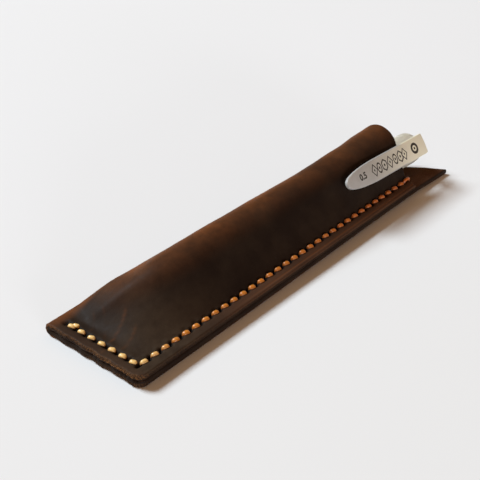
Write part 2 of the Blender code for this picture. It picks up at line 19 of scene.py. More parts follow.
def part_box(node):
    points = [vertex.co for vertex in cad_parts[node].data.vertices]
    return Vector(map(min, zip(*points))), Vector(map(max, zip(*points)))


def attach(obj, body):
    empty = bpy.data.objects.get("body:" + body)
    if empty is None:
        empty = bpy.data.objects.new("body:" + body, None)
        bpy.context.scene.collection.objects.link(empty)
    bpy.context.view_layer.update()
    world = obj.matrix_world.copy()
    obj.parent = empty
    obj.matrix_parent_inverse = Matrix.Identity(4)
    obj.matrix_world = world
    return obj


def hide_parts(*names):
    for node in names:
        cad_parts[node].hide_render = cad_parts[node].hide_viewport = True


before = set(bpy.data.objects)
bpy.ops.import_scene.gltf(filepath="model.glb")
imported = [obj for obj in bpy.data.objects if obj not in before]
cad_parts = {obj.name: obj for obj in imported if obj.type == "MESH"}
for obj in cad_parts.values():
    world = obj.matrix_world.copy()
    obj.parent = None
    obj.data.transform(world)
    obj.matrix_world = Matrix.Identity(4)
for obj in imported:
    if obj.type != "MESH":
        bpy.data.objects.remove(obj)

MM = 0.001
MERGE_DISTANCE = 1e-7
LOG = logging.getLogger("pen_sleeve")
Colour = tuple[float, float, float, float]
Profile = Sequence[tuple[float, float]]
Values = Union[float, np.ndarray]


class Slot(Enum):
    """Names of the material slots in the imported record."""

    LEATHER = "waxed_leather"
    THREAD = "waxed_thread"
    FROSTED = "frosted_plastic"
    BLACK = "black_plastic"
    GRIP = "grip_rubber"


class Body(Enum):
    """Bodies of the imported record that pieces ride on."""

    SLEEVE = "sleeve"
    PEN = "pen"
    CAP = "cap"
    CLIP = "clip"


# ---------------------------------------------------------------- numbers


def lerp(start: float, end: float, share: float) -> float:
    """Blends two values."""
    return start + (end - start) * share


def ease(value: Values, start: float, end: float) -> Values:
    """Rises smoothly from 0 to 1 while value goes from start to end.

    Args:
        value: A number or an array.
        start: Value at which the rise begins.
        end: Value at which it is complete.

    Returns:
        The share, a number or an array as value is.
    """
    share = np.clip((value - start) / (end - start), 0.0, 1.0)
    return share * share * (3.0 - 2.0 * share)


def smooth_profile(x: float, stations: Profile) -> float:
    """Smooth curve through stations, level before the first and after the last.

    Args:
        x: Place along the sleeve.
        stations: Pairs of place and value, in order.

    Returns:
        The value at x.
    """
    if x <= stations[0][0]:
        return stations[0][1]
    if x >= stations[-1][0]:
        return stations[-1][1]
    rises = [(z1 - z0) / (x1 - x0) for (x0, z0), (x1, z1) in zip(stations, stations[1:])]
    slopes = [0.0] + [0.5 * (before + after) for before, after in zip(rises, rises[1:])] + [rises[-1]]
    index = max(place for place, station in enumerate(stations) if station[0] < x)
    x0, z0 = stations[index]
    x1, z1 = stations[index + 1]
    share = (x - x0) / (x1 - x0)
    bend = share * share * (3.0 - 2.0 * share)
    leaving = share * (1.0 - share) ** 2 * (x1 - x0) * slopes[index]
    arriving = share * share * (share - 1.0) * (x1 - x0) * slopes[index + 1]
    return lerp(z0, z1, bend) + leaving + arriving


NOISE_WAVES = 9
NOISE_FREQUENCIES = (0.7, 1.6)
NOISE_LEVEL = 0.7


def steady_noise(places: np.ndarray, size: float, seed: int) -> np.ndarray:
    """Smooth noise from a few plane waves, the same on every run.

    Args:
        places: Points, one to a row, in millimetres.
        size: Size of the noise's features in millimetres.
        seed: Number that picks the waves.

    Returns:
        One value to a point, mostly from -1 to 1.
    """
    source = np.random.default_rng(seed)
    total = np.zeros(len(places))
    for _ in range(NOISE_WAVES):
        direction = source.normal(size=places.shape[1])
        direction *= source.uniform(*NOISE_FREQUENCIES) / (np.linalg.norm(direction) * size)
        total += np.sin(2.0 * pi * (places @ direction) + source.uniform(0.0, 2.0 * pi))
    return total * sqrt(2.0 / NOISE_WAVES) * NOISE_LEVEL


# ---------------------------------------------------------------- finishes


class Kind(Enum):
    """Kinds of shader node that the finishes are made of."""

    COORDINATES = "ShaderNodeTexCoord"
    ATTRIBUTE = "ShaderNodeAttribute"
    SEPARATE = "ShaderNodeSeparateXYZ"
    NOISE = "ShaderNodeTexNoise"
    RANGE = "ShaderNodeMapRange"
    MATH = "ShaderNodeMath"
    MIX = "ShaderNodeMix"
    BUMP = "ShaderNodeBump"


SMOOTH = {"interpolation_type": "SMOOTHSTEP"}
COLOURS = {"data_type": "RGBA"}
TIMES = {"operation": "MULTIPLY"}
# A Mix node has several sockets of each name, so those that mix two colours are picked by number
SHARE = 0
FIRST = 6
SECOND = 7
MIXED = 2
# Strength of each finer layer of a noise, where a finish names no other
LAYER_STRENGTH = 0.55


def linear(code: str) -> Colour:
    """Turns an sRGB hex colour into Blender's linear colour.

    Args:
        code: Colour such as "#3a2218".

    Returns:
        Red, green, blue and an alpha of 1.
    """
    values = [int(code[start:start + 2], 16) / 255.0 for start in (1, 3, 5)]
    red, green, blue = [v / 12.92 if v <= 0.04045 else ((v + 0.055) / 1.055) ** 2.4 for v in values]
    return red, green, blue, 1.0


def add_node(tree: bpy.types.NodeTree, kind: Kind, settings: Optional[dict] = None,
             inputs: Optional[dict] = None) -> bpy.types.Node:
    """Adds a node with its settings, its constant inputs and its links.

    Args:
        tree: Node tree that gets the node.
        kind: Kind of node.
        settings: Attributes of the node.
        inputs: By an input's name or number, its constant value or the output socket that it is linked to.

    Returns:
        The new node.
    """
    node = tree.nodes.new(kind.value)
    for name, value in (settings or {}).items():
        setattr(node, name, value)
    for name, value in (inputs or {}).items():
        if isinstance(value, bpy.types.NodeSocket):
            tree.links.new(value, node.inputs[name])
        else:
            node.inputs[name].default_value = value
    return node


def start_material(name: str, values: dict) -> tuple[bpy.types.Material, bpy.types.NodeTree, bpy.types.Node]:
    """Makes a material whose shader has its constant values set on its own sockets.

    Args:
        name: Name of the finish.
        values: Inputs of the Principled shader, by name.

    Returns:
        The material, its node tree and its shader.
    """
    material = bpy.data.materials.new(name)
    material.use_nodes = True
    tree = material.node_tree
    shader = tree.nodes["Principled BSDF"]
    for socket, value in values.items():
        shader.inputs[socket].default_value = value
    return material, tree, shader


@dataclass(frozen=True)
class WaxedLeather:
    """Vegetable tanned cowhide, dyed dark and hot waxed, grain side out.

    The wax makes it nearly black with a soft gloss. Where the hide is bent, the wax leaves and the brown
    shows through, and along the fold that warm band also holds painted sheen. The flesh side is matt, rough
    and redder.
    """

    dark: str = "#241b16"
    # Warm brown of the fold band and the creases; on the fold band it is partly painted sheen
    warm: str = "#8b5129"
    # Grey brown: random wax bloom in the mottling, and painted reflection of the pale sky near the foot
    bloom_and_sheen: str = "#46382b"
    flange: str = "#503627"
    flesh: str = "#5c3e2c"
    fibre: str = "#9a6b40"
    # Near black: painted shade in the stitch slots and along the pressed rows
    stitch_shade: str = "#0b0706"
    mottle_size: float = 11.0
    smear_size: float = 3.3
    grain_size: float = 0.55
    fibre_size: float = 0.35
    gloss: tuple[float, float] = (0.46, 0.62)
    cut_roughness: float = 0.85
    grain_relief: tuple[float, float] = (0.35, 0.05)
    smear_relief: tuple[float, float] = (0.30, 0.35)
    fibre_relief: tuple[float, float] = (0.8, 0.25)

    def material(self) -> bpy.types.Material:
        """Makes the leather's material, which reads the masks that the mesh holds.

        Returns:
            The material.
        """
        material, tree, shader = start_material("hot_waxed_cowhide", {
            "IOR": 1.46, "Specular IOR Level": 0.05,
        })
        place = add_node(tree, Kind.COORDINATES).outputs["Object"]
        masks = {}
        for name in ("pull_and_sheen", "bloom_and_sheen", "flange", "crease", "flesh", "rim", "stitch_shade"):
            masks[name] = add_node(tree, Kind.ATTRIBUTE, {"attribute_name": name}).outputs["Fac"]
        patterns = {}
        for name, size, detail, strength in (
            ("mottle", self.mottle_size, 4.0, LAYER_STRENGTH),
            ("smear", self.smear_size, 5.0, 0.6),
            ("grain", self.grain_size, 2.0, LAYER_STRENGTH),
            ("fibres", self.fibre_size, 3.0, 0.7),
        ):
            patterns[name] = add_node(tree, Kind.NOISE, None, {
                "Vector": place, "Scale": 1.0 / (size * MM), "Detail": detail, "Roughness": strength,
            }).outputs[0]
        shares = {}
        for name, pattern, start, end, low, high in (
            ("mottled", "mottle", 0.35, 0.75, 0.0, 0.25),
            ("broken", "smear", 0.25, 0.70, 0.55, 1.0),
            ("clouded", "smear", 0.30, 0.70, 0.50, 1.0),
            ("shaded", "fibres", 0.30, 0.75, 0.0, 0.5),
            ("frayed", "fibres", 0.42, 0.62, 0.0, 1.0),
            ("gloss", "smear", 0.20, 0.80, *self.gloss),
        ):
            shares[name] = add_node(tree, Kind.RANGE, SMOOTH, {
                "Value": patterns[pattern], "From Min": start, "From Max": end, "To Min": low, "To Max": high,
            }).outputs[0]
        # Fold band: partly the wax leaving the bent hide, partly painted sheen
        pull_and_sheen_share = add_node(tree, Kind.MATH, TIMES, {0: masks["pull_and_sheen"], 1: shares["broken"]}).outputs[0]
        # Painted reflection of the pale sky where the leather near the foot faces up
        painted_foot_sheen = add_node(tree, Kind.MATH, TIMES, {0: masks["bloom_and_sheen"], 1: shares["clouded"]}).outputs[0]

        flesh = add_node(tree, Kind.MIX, COLOURS, {
            SHARE: shares["shaded"], FIRST: linear(self.flesh), SECOND: linear(self.dark),
        }).outputs[MIXED]
        cut_edge = add_node(tree, Kind.MIX, COLOURS, {
            SHARE: shares["frayed"], FIRST: linear(self.dark), SECOND: linear(self.fibre),
        }).outputs[MIXED]
        colour = linear(self.dark)
        for share, coat in (
            (shares["mottled"], linear(self.bloom_and_sheen)),
            (pull_and_sheen_share, linear(self.warm)),
            (painted_foot_sheen, linear(self.bloom_and_sheen)),
            (masks["flange"], linear(self.flange)),
            (masks["crease"], linear(self.warm)),
            (masks["flesh"], flesh),
            (masks["rim"], cut_edge),
            (masks["stitch_shade"], linear(self.stitch_shade)),
        ):
            colour = add_node(tree, Kind.MIX, COLOURS, {
                SHARE: share, FIRST: colour, SECOND: coat,
            }).outputs[MIXED]
        tree.links.new(colour, shader.inputs["Base Color"])

        matt = add_node(tree, Kind.MATH, {"operation": "MAXIMUM"}, {
            0: masks["flesh"], 1: masks["rim"],
        }).outputs[0]
        rough = add_node(tree, Kind.MIX, {"data_type": "FLOAT"}, {
            SHARE: matt, 2: shares["gloss"], 3: self.cut_roughness,
        }).outputs[0]
        tree.links.new(rough, shader.inputs["Roughness"])

        loose = add_node(tree, Kind.MATH, TIMES, {0: matt, 1: patterns["fibres"]}).outputs[0]
        relief: dict = {}
        for height, (strength, depth) in (
            (patterns["grain"], self.grain_relief),
            (patterns["smear"], self.smear_relief),
            (loose, self.fibre_relief),
        ):
            inputs = {"Height": height, "Strength": strength, "Distance": depth * MM, **relief}
            relief = {"Normal": add_node(tree, Kind.BUMP, None, inputs).outputs[0]}
        tree.links.new(relief["Normal"], shader.inputs["Normal"])
        return material


@dataclass(frozen=True)
class WaxedThread:
    """Twisted polyester thread, waxed and orange, with random blotches.

    Along the sleeve its colour is painted light: pale where the stitches are lit at the foot, and deeper
    orange where the fold shades the row towards the mouth. The lower side and ends of each stitch get a
    darker painted shade.
    """

    # Pale where lit and deeper orange where shaded: painted light along the row. Orange is the thread's own
    # colour.
    pale: str = "#f9d083"
    orange: str = "#d07f22"
    deep: str = "#c0621c"
    # Darker orange: painted shade on the lower side and ends of each stitch
    underside_shade: str = "#8a4712"
    blotch_size: float = 2.5
    ply_size: float = 0.4
    relief_depth: float = 0.08

    def material(self, pale_x: float, orange_x: float, deep_x: float) -> bpy.types.Material:
        """Makes the thread's material.

        Args:
            pale_x: Place along the sleeve, in metres, where the thread is palest, as painted light.
            orange_x: Place where it is orange.
            deep_x: Place where it is deepest, as painted shade.

        Returns:
            The material.
        """
        material, tree, shader = start_material("waxed_twisted_polyester", {
            "IOR": 1.5, "Specular IOR Level": 0.7, "Sheen Weight": 0.15, "Sheen Roughness": 0.4,
        })
        place = add_node(tree, Kind.COORDINATES).outputs["Object"]
        along = add_node(tree, Kind.SEPARATE, None, {0: place}).outputs[0]
        # Painted shade on the lower side and ends of each stitch
        sunk = add_node(tree, Kind.ATTRIBUTE, {"attribute_name": "sunk"}).outputs["Fac"]
        blotch, ply = [
            add_node(tree, Kind.NOISE, None, {
                "Vector": place, "Scale": 1.0 / (size * MM), "Detail": detail, "Roughness": LAYER_STRENGTH,
            }).outputs[0]
            for size, detail in ((self.blotch_size, 3.0), (self.ply_size, 2.0))
        ]
        # The first two shares are painted light along the sleeve: lit pale at the foot, turning orange, then
        # deeper orange where the fold shades the row towards the mouth. The third is random blotches, and the
        # last the roughness.
        waxed, deeper_shade, blotched, gloss = [
            add_node(tree, Kind.RANGE, SMOOTH, {
                "Value": value, "From Min": start, "From Max": end, "To Min": low, "To Max": high,
            }).outputs[0]
            for value, start, end, low, high in (
                (along, pale_x, orange_x, 0.0, 1.0),
                (along, orange_x, deep_x, 0.0, 1.0),
                (blotch, 0.5, 0.8, 0.0, 0.6),
                (ply, 0.2, 0.8, 0.3, 0.5),
            )
        ]
        colour = linear(self.pale)
        for share, tint in (
            (waxed, self.orange), (deeper_shade, self.deep), (blotched, self.orange), (sunk, self.underside_shade),
        ):
            colour = add_node(tree, Kind.MIX, COLOURS, {
                SHARE: share, FIRST: colour, SECOND: linear(tint),
            }).outputs[MIXED]
        relief = add_node(tree, Kind.BUMP, None, {
            "Height": ply, "Strength": 0.4, "Distance": self.relief_depth * MM,
        }).outputs[0]
        tree.links.new(colour, shader.inputs["Base Color"])
        tree.links.new(gloss, shader.inputs["Roughness"])
        tree.links.new(relief, shader.inputs["Normal"])
        return material


@dataclass(frozen=True)
class MouldedPlastic:
    """Injection moulded plastic, with the fine texture of its mould.

    A paler colour and less clearness go where the piece's mesh holds its "thick" mask. On the clip this is
    painted light: the backlight glowing through the part that stands past the sleeve's mouth.
    """

    name: str
    tint: str
    shade: str
    roughness: float = 0.4
    transmission: float = 0.0
    ior: float = 1.49
    grit_size: float = 0.3
    grit_depth: float = 0.02
    haze_size: float = 6.0
    # Painted glow of backlight through the plastic, where the thick mask is
    milky: Optional[str] = None
    milky_transmission: float = 0.15

    def material(self) -> bpy.types.Material:
        """Makes the plastic's material.

        Returns:
            The material.
        """
        material, tree, shader = start_material(self.name, {
            "IOR": self.ior, "Transmission Weight": self.transmission,
        })
        place = add_node(tree, Kind.COORDINATES).outputs["Object"]
        haze, grit = [
            add_node(tree, Kind.NOISE, None, {
                "Vector": place, "Scale": 1.0 / (size * MM), "Detail": detail, "Roughness": LAYER_STRENGTH,
            }).outputs[0]
            for size, detail in ((self.haze_size, 3.0), (self.grit_size, 2.0))
        ]
        shaded, gloss = [
            add_node(tree, Kind.RANGE, SMOOTH, {
                "Value": value, "From Min": start, "From Max": end, "To Min": low, "To Max": high,
            }).outputs[0]
            for value, start, end, low, high in (
                (haze, 0.3, 0.75, 0.0, 1.0),
                (grit, 0.2, 0.8, self.roughness - 0.06, self.roughness + 0.08),
            )
        ]
        colour = add_node(tree, Kind.MIX, COLOURS, {
            SHARE: shaded, FIRST: linear(self.tint), SECOND: linear(self.shade),
        }).outputs[MIXED]
        # Painted light: paler and less clear where backlit
        if self.milky is not None:
            thick = add_node(tree, Kind.ATTRIBUTE, {"attribute_name": "thick"}).outputs["Fac"]
            colour = add_node(tree, Kind.MIX, COLOURS, {
                SHARE: thick, FIRST: colour, SECOND: linear(self.milky),
            }).outputs[MIXED]
            clear = add_node(tree, Kind.RANGE, SMOOTH, {
                "Value": thick, "To Min": self.transmission, "To Max": self.milky_transmission,
            }).outputs[0]
            tree.links.new(clear, shader.inputs["Transmission Weight"])
        relief = add_node(tree, Kind.BUMP, None, {
            "Height": grit, "Strength": 0.4, "Distance": self.grit_depth * MM,
        }).outputs[0]
        tree.links.new(colour, shader.inputs["Base Color"])
        tree.links.new(gloss, shader.inputs["Roughness"])
        tree.links.new(relief, shader.inputs["Normal"])
        return material


@dataclass(frozen=True)
class TurnedMetal:
    """Metal turned on a lathe, with fine marks round its axis."""

    name: str
    tint: str
    shade: str
    roughness: float = 0.25
    mark_size: float = 0.15

    def material(self) -> bpy.types.Material:
        """Makes the metal's material.

        Returns:
            The material.
        """
        material, tree, shader = start_material(self.name, {"Metallic": 1.0})
        place = add_node(tree, Kind.COORDINATES).outputs["Object"]
        marks = add_node(tree, Kind.NOISE, None, {
            "Vector": place, "Scale": 1.0 / (self.mark_size * MM), "Detail": 2.0, "Roughness": LAYER_STRENGTH,
        }).outputs[0]
        shaded, gloss = [
            add_node(tree, Kind.RANGE, SMOOTH, {
                "Value": marks, "From Min": start, "From Max": end, "To Min": low, "To Max": high,
            }).outputs[0]
            for start, end, low, high in (
                (0.3, 0.7, 0.0, 1.0),
                (0.2, 0.8, self.roughness, self.roughness + 0.15),
            )
        ]
        colour = add_node(tree, Kind.MIX, COLOURS, {
            SHARE: shaded, FIRST: linear(self.tint), SECOND: linear(self.shade),
        }).outputs[MIXED]
        tree.links.new(colour, shader.inputs["Base Color"])
        tree.links.new(gloss, shader.inputs["Roughness"])
        return material


# Styrene acrylonitrile cap and barrel, moulded frosted: milky, and clear enough to let the dark through
FROSTED_TUBE = MouldedPlastic("frosted_san_tube", "#fbf7ea", "#f3edda", 0.42, 0.55, 1.5)
# Its tint turns paler past the sleeve's mouth: painted backlight glowing through
FROSTED_CLIP = MouldedPlastic("frosted_san_clip", "#dcdbd8", "#cfceca", 0.34, 0.4, 1.5, milky="#fffbe4")
# Polystyrene plug, glossy and black
BLACK_PLUG = MouldedPlastic("black_polystyrene", "#17171a", "#0e0e10", 0.28)
# Moulded elastomer, matt: a dark grip, and a grey seal in front of the ball
GRIP_RUBBER = MouldedPlastic(
    "black_grip_elastomer", "#1d1d20", "#131315", 0.7, grit_size=0.5, grit_depth=0.05,
)
SEAL_RUBBER = MouldedPlastic("grey_seal_elastomer", "#8d8c88", "#7c7b77", 0.65)
# Extruded polypropylene, which shows the ink and the yellow grease behind it
REFILL_TUBE = MouldedPlastic("clear_polypropylene", "#dfe3e3", "#d2d8d8", 0.3, 0.55)
GEL_INK = MouldedPlastic("black_gel_ink", "#08080b", "#101014", 0.25)
GREASE = MouldedPlastic("clear_follower_grease", "#b9ad74", "#a89b62", 0.2, 0.4, 1.47)
# Acetal joint, opaque and slightly waxy
SOCKET = MouldedPlastic("white_acetal", "#dedcd6", "#cfccc4", 0.4)
# Turned nickel silver tip and ground carbide ball, both bright
NICKEL = TurnedMetal("nickel_silver", "#cfc7b4", "#b8b09c", 0.22)
CARBIDE = TurnedMetal("tungsten_carbide", "#8d8f94", "#7b7d82", 0.12)
# Pad printed ink on the clip, thin and matt
PRINT_INK = MouldedPlastic("dark_grey_pad_print", "#34312a", "#27251f", 0.55)


# ---------------------------------------------------------------- mesh helpers


def start_piece() -> None:
    """Deselects everything, so that the next operator acts on a new primitive only."""
    if bpy.context.object is not None and bpy.context.object.mode != "OBJECT":
        bpy.ops.object.mode_set(mode="OBJECT")
    bpy.ops.object.select_all(action="DESELECT")


def pick(items: Sequence[bpy.types.Object]) -> None:
    """Selects some pieces alone, and makes the first of them the active one.

    Args:
        items: The pieces.
    """
    start_piece()
    for item in items:
        item.select_set(True)
    bpy.context.view_layer.objects.active = items[0]


def join(items: Sequence[bpy.types.Object]) -> bpy.types.Object:
    """Joins pieces into the first of them.

    Args:
        items: The pieces.

    Returns:
        The joined piece.
    """
    pick(items)
    bpy.ops.object.join()
    return bpy.context.object


def apply_place() -> None:
    """Applies the selected pieces' places to their meshes, which leaves the objects at the origin."""
    bpy.ops.object.transform_apply(location=True, rotation=True, scale=True)


def add_block(centre: Vector, size: Vector) -> bpy.types.Object:
    """Adds a plain block for a piece to start from.

    Args:
        centre: Its centre in metres.
        size: Its three sizes in metres.

    Returns:
        The block, its object at the origin.
    """
    start_piece()
    bpy.ops.mesh.primitive_cube_add(size=1.0, location=centre, scale=size)
    apply_place()
    return bpy.context.object


def apply_modifier(item: bpy.types.Object, kind: str, **settings) -> None:
    """Adds a modifier with its settings and applies it.

    Args:
        item: Piece that is shaped.
        kind: Modifier type, such as "BEVEL".
        **settings: Attributes of the modifier.
    """
    pick([item])
    modifier = item.modifiers.new(kind.lower(), kind)
    for name, value in settings.items():
        setattr(modifier, name, value)
    bpy.ops.object.modifier_apply(modifier=modifier.name)


def settle(item: bpy.types.Object, matrix: Matrix, angle: float = radians(35.0)) -> bpy.types.Object:
    """Puts a piece in its place, applies the place to its mesh, and smooths it.

    Args:
        item: Piece, modelled in its own frame in metres.
        matrix: The frame's place in the row frame.
        angle: Edges sharper than this stay sharp.

    Returns:
        The piece, its object at the origin.
    """
    pick([item])
    item.matrix_world = matrix @ item.matrix_world
    apply_place()
    bpy.ops.object.mode_set(mode="EDIT")
    bpy.ops.mesh.select_all(action="SELECT")
    bpy.ops.mesh.remove_doubles(threshold=MERGE_DISTANCE)
    bpy.ops.mesh.normals_make_consistent(inside=False)
    bpy.ops.object.mode_set(mode="OBJECT")
    bpy.ops.object.shade_smooth_by_angle(angle=angle)
    return item


def finish_piece(item: bpy.types.Object, name: str, material: bpy.types.Material, body: Body,
                 stands_for: Sequence[str] = ()) -> bpy.types.Object:
    """Names a piece, gives it its material, and puts it on its body.

    Args:
        item: The piece.
        name: Its name.
        material: Its material.
        body: Body that it rides on.
        stands_for: CAD nodes that it replaces, which may be none.

    Returns:
        The piece.
    """
    item.name = name
    item.data.name = name
    item.data.materials.clear()
    item.data.materials.append(material)
    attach(item, body.value)
    if stands_for:
        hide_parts(*stands_for)
    item.data.calc_loop_triangles()
    LOG.info("%-18s rides on %-6s %6d triangles", name, body.value, len(item.data.loop_triangles))
    return item


def turned_shell(profile: Profile, steps: int = 64, tiny: float = 0.02) -> bpy.types.Object:
    """Turns a closed profile about the X axis, as on a lathe.

    A circle is extruded from point to point of the profile and resized at each. A profile that starts
    and ends on the axis gives a solid, and one that doesn't gives a tube.

    Args:
        profile: Points of (x, radius) in millimetres, in order.
        steps: Faces round the axis.
        tiny: Radius that stands for a point on the axis.

    Returns:
        The new object, in its own frame.
    """
    points = [(x, max(radius, tiny)) for x, radius in profile]
    solid = profile[0][1] <= tiny
    if not solid:
        points.append(points[0])
    start_piece()
    first_x, first_radius = points[0]
    bpy.ops.mesh.primitive_circle_add(
        vertices=steps, radius=first_radius * MM, fill_type="NGON" if solid else "NOTHING",
        location=(first_x * MM, 0.0, 0.0), rotation=(0.0, 0.5 * pi, 0.0),
    )
    item = bpy.context.object
    apply_place()
    bpy.ops.object.mode_set(mode="EDIT")
    bpy.ops.mesh.select_all(action="SELECT")
    for (x0, radius0), (x1, radius1) in zip(points, points[1:]):
        step = ((x1 - x0) * MM, 0.0, 0.0)
        share = radius1 / radius0
        bpy.ops.mesh.extrude_region_move(TRANSFORM_OT_translate={"value": step})
        bpy.ops.transform.resize(value=(1.0, share, share), center_override=(x1 * MM, 0.0, 0.0))
    bpy.ops.object.mode_set(mode="OBJECT")
    return item


def set_places(item: bpy.types.Object, places: np.ndarray) -> None:
    """Moves a mesh's vertices to given places in metres."""
    item.data.vertices.foreach_set("co", places.astype(np.float32).ravel())
    item.data.update()


def get_places(item: bpy.types.Object) -> np.ndarray:
    """Reads the places of a mesh's vertices.

    Args:
        item: The piece.

    Returns:
        The places in metres, one to a row.
    """
    places = np.empty(len(item.data.vertices) * 3, np.float32)
    item.data.vertices.foreach_get("co", places)
    return places.reshape(-1, 3).astype(float)


def set_mask(item: bpy.types.Object, name: str, values: np.ndarray) -> None:
    """Stores one number at each vertex of a mesh for its material to read."""
    layer = item.data.attributes.new(name, "FLOAT", "POINT")
    layer.data.foreach_set("value", np.clip(values, 0.0, 1.0).astype(np.float32))


# ---------------------------------------------------------------- leather


@dataclass(frozen=True)
class Stitch:
    """One stitch hole on the blank: its place along it and from the long edge, and its row's direction."""

    x: float
    line: float
    along: tuple[float, float]


@dataclass(frozen=True)
class Crease:
    """A light crease on the front panel: its two ends as (x, line), and its strength."""

    start: tuple[float, float]
    end: tuple[float, float]
    strength: float


@dataclass
class Skin:
    """The leather's middle surface: a grid of lines across the blank and stations along each line.

    Lines holds each vertex's distance across the blank, near_edge the one from the nearer long edge,
    and border the one from the nearest edge. Front is true on the front panel. Flat is the unrolled grid.
    """

    places: np.ndarray
    normals: np.ndarray
    lines: np.ndarray
    near_edge: np.ndarray
    border: np.ndarray
    front: np.ndarray
    flat: np.ndarray


@dataclass
class Marks:
    """What the making leaves in the grain side, and the painted shade in the stitch slots and pressed rows,
    one value to a vertex of the grid.
    """

    lift: np.ndarray
    # Painted shade in the stitch slots and along the pressed rows
    stitch_shade: np.ndarray
    crease: np.ndarray
    tool_line: np.ndarray
    pebble: np.ndarray


@dataclass
class Rim:
    """The blank's cut edge, one value to a vertex of its loop.

    Rows and columns are the loop's places on the grid, outer the grain side's points there, between the
    rings of points from there to the flesh side, and at_foot how near each is to the foot.
    """

    rows: np.ndarray
    columns: np.ndarray
    outer: np.ndarray
    between: list[np.ndarray]
    at_foot: np.ndarray


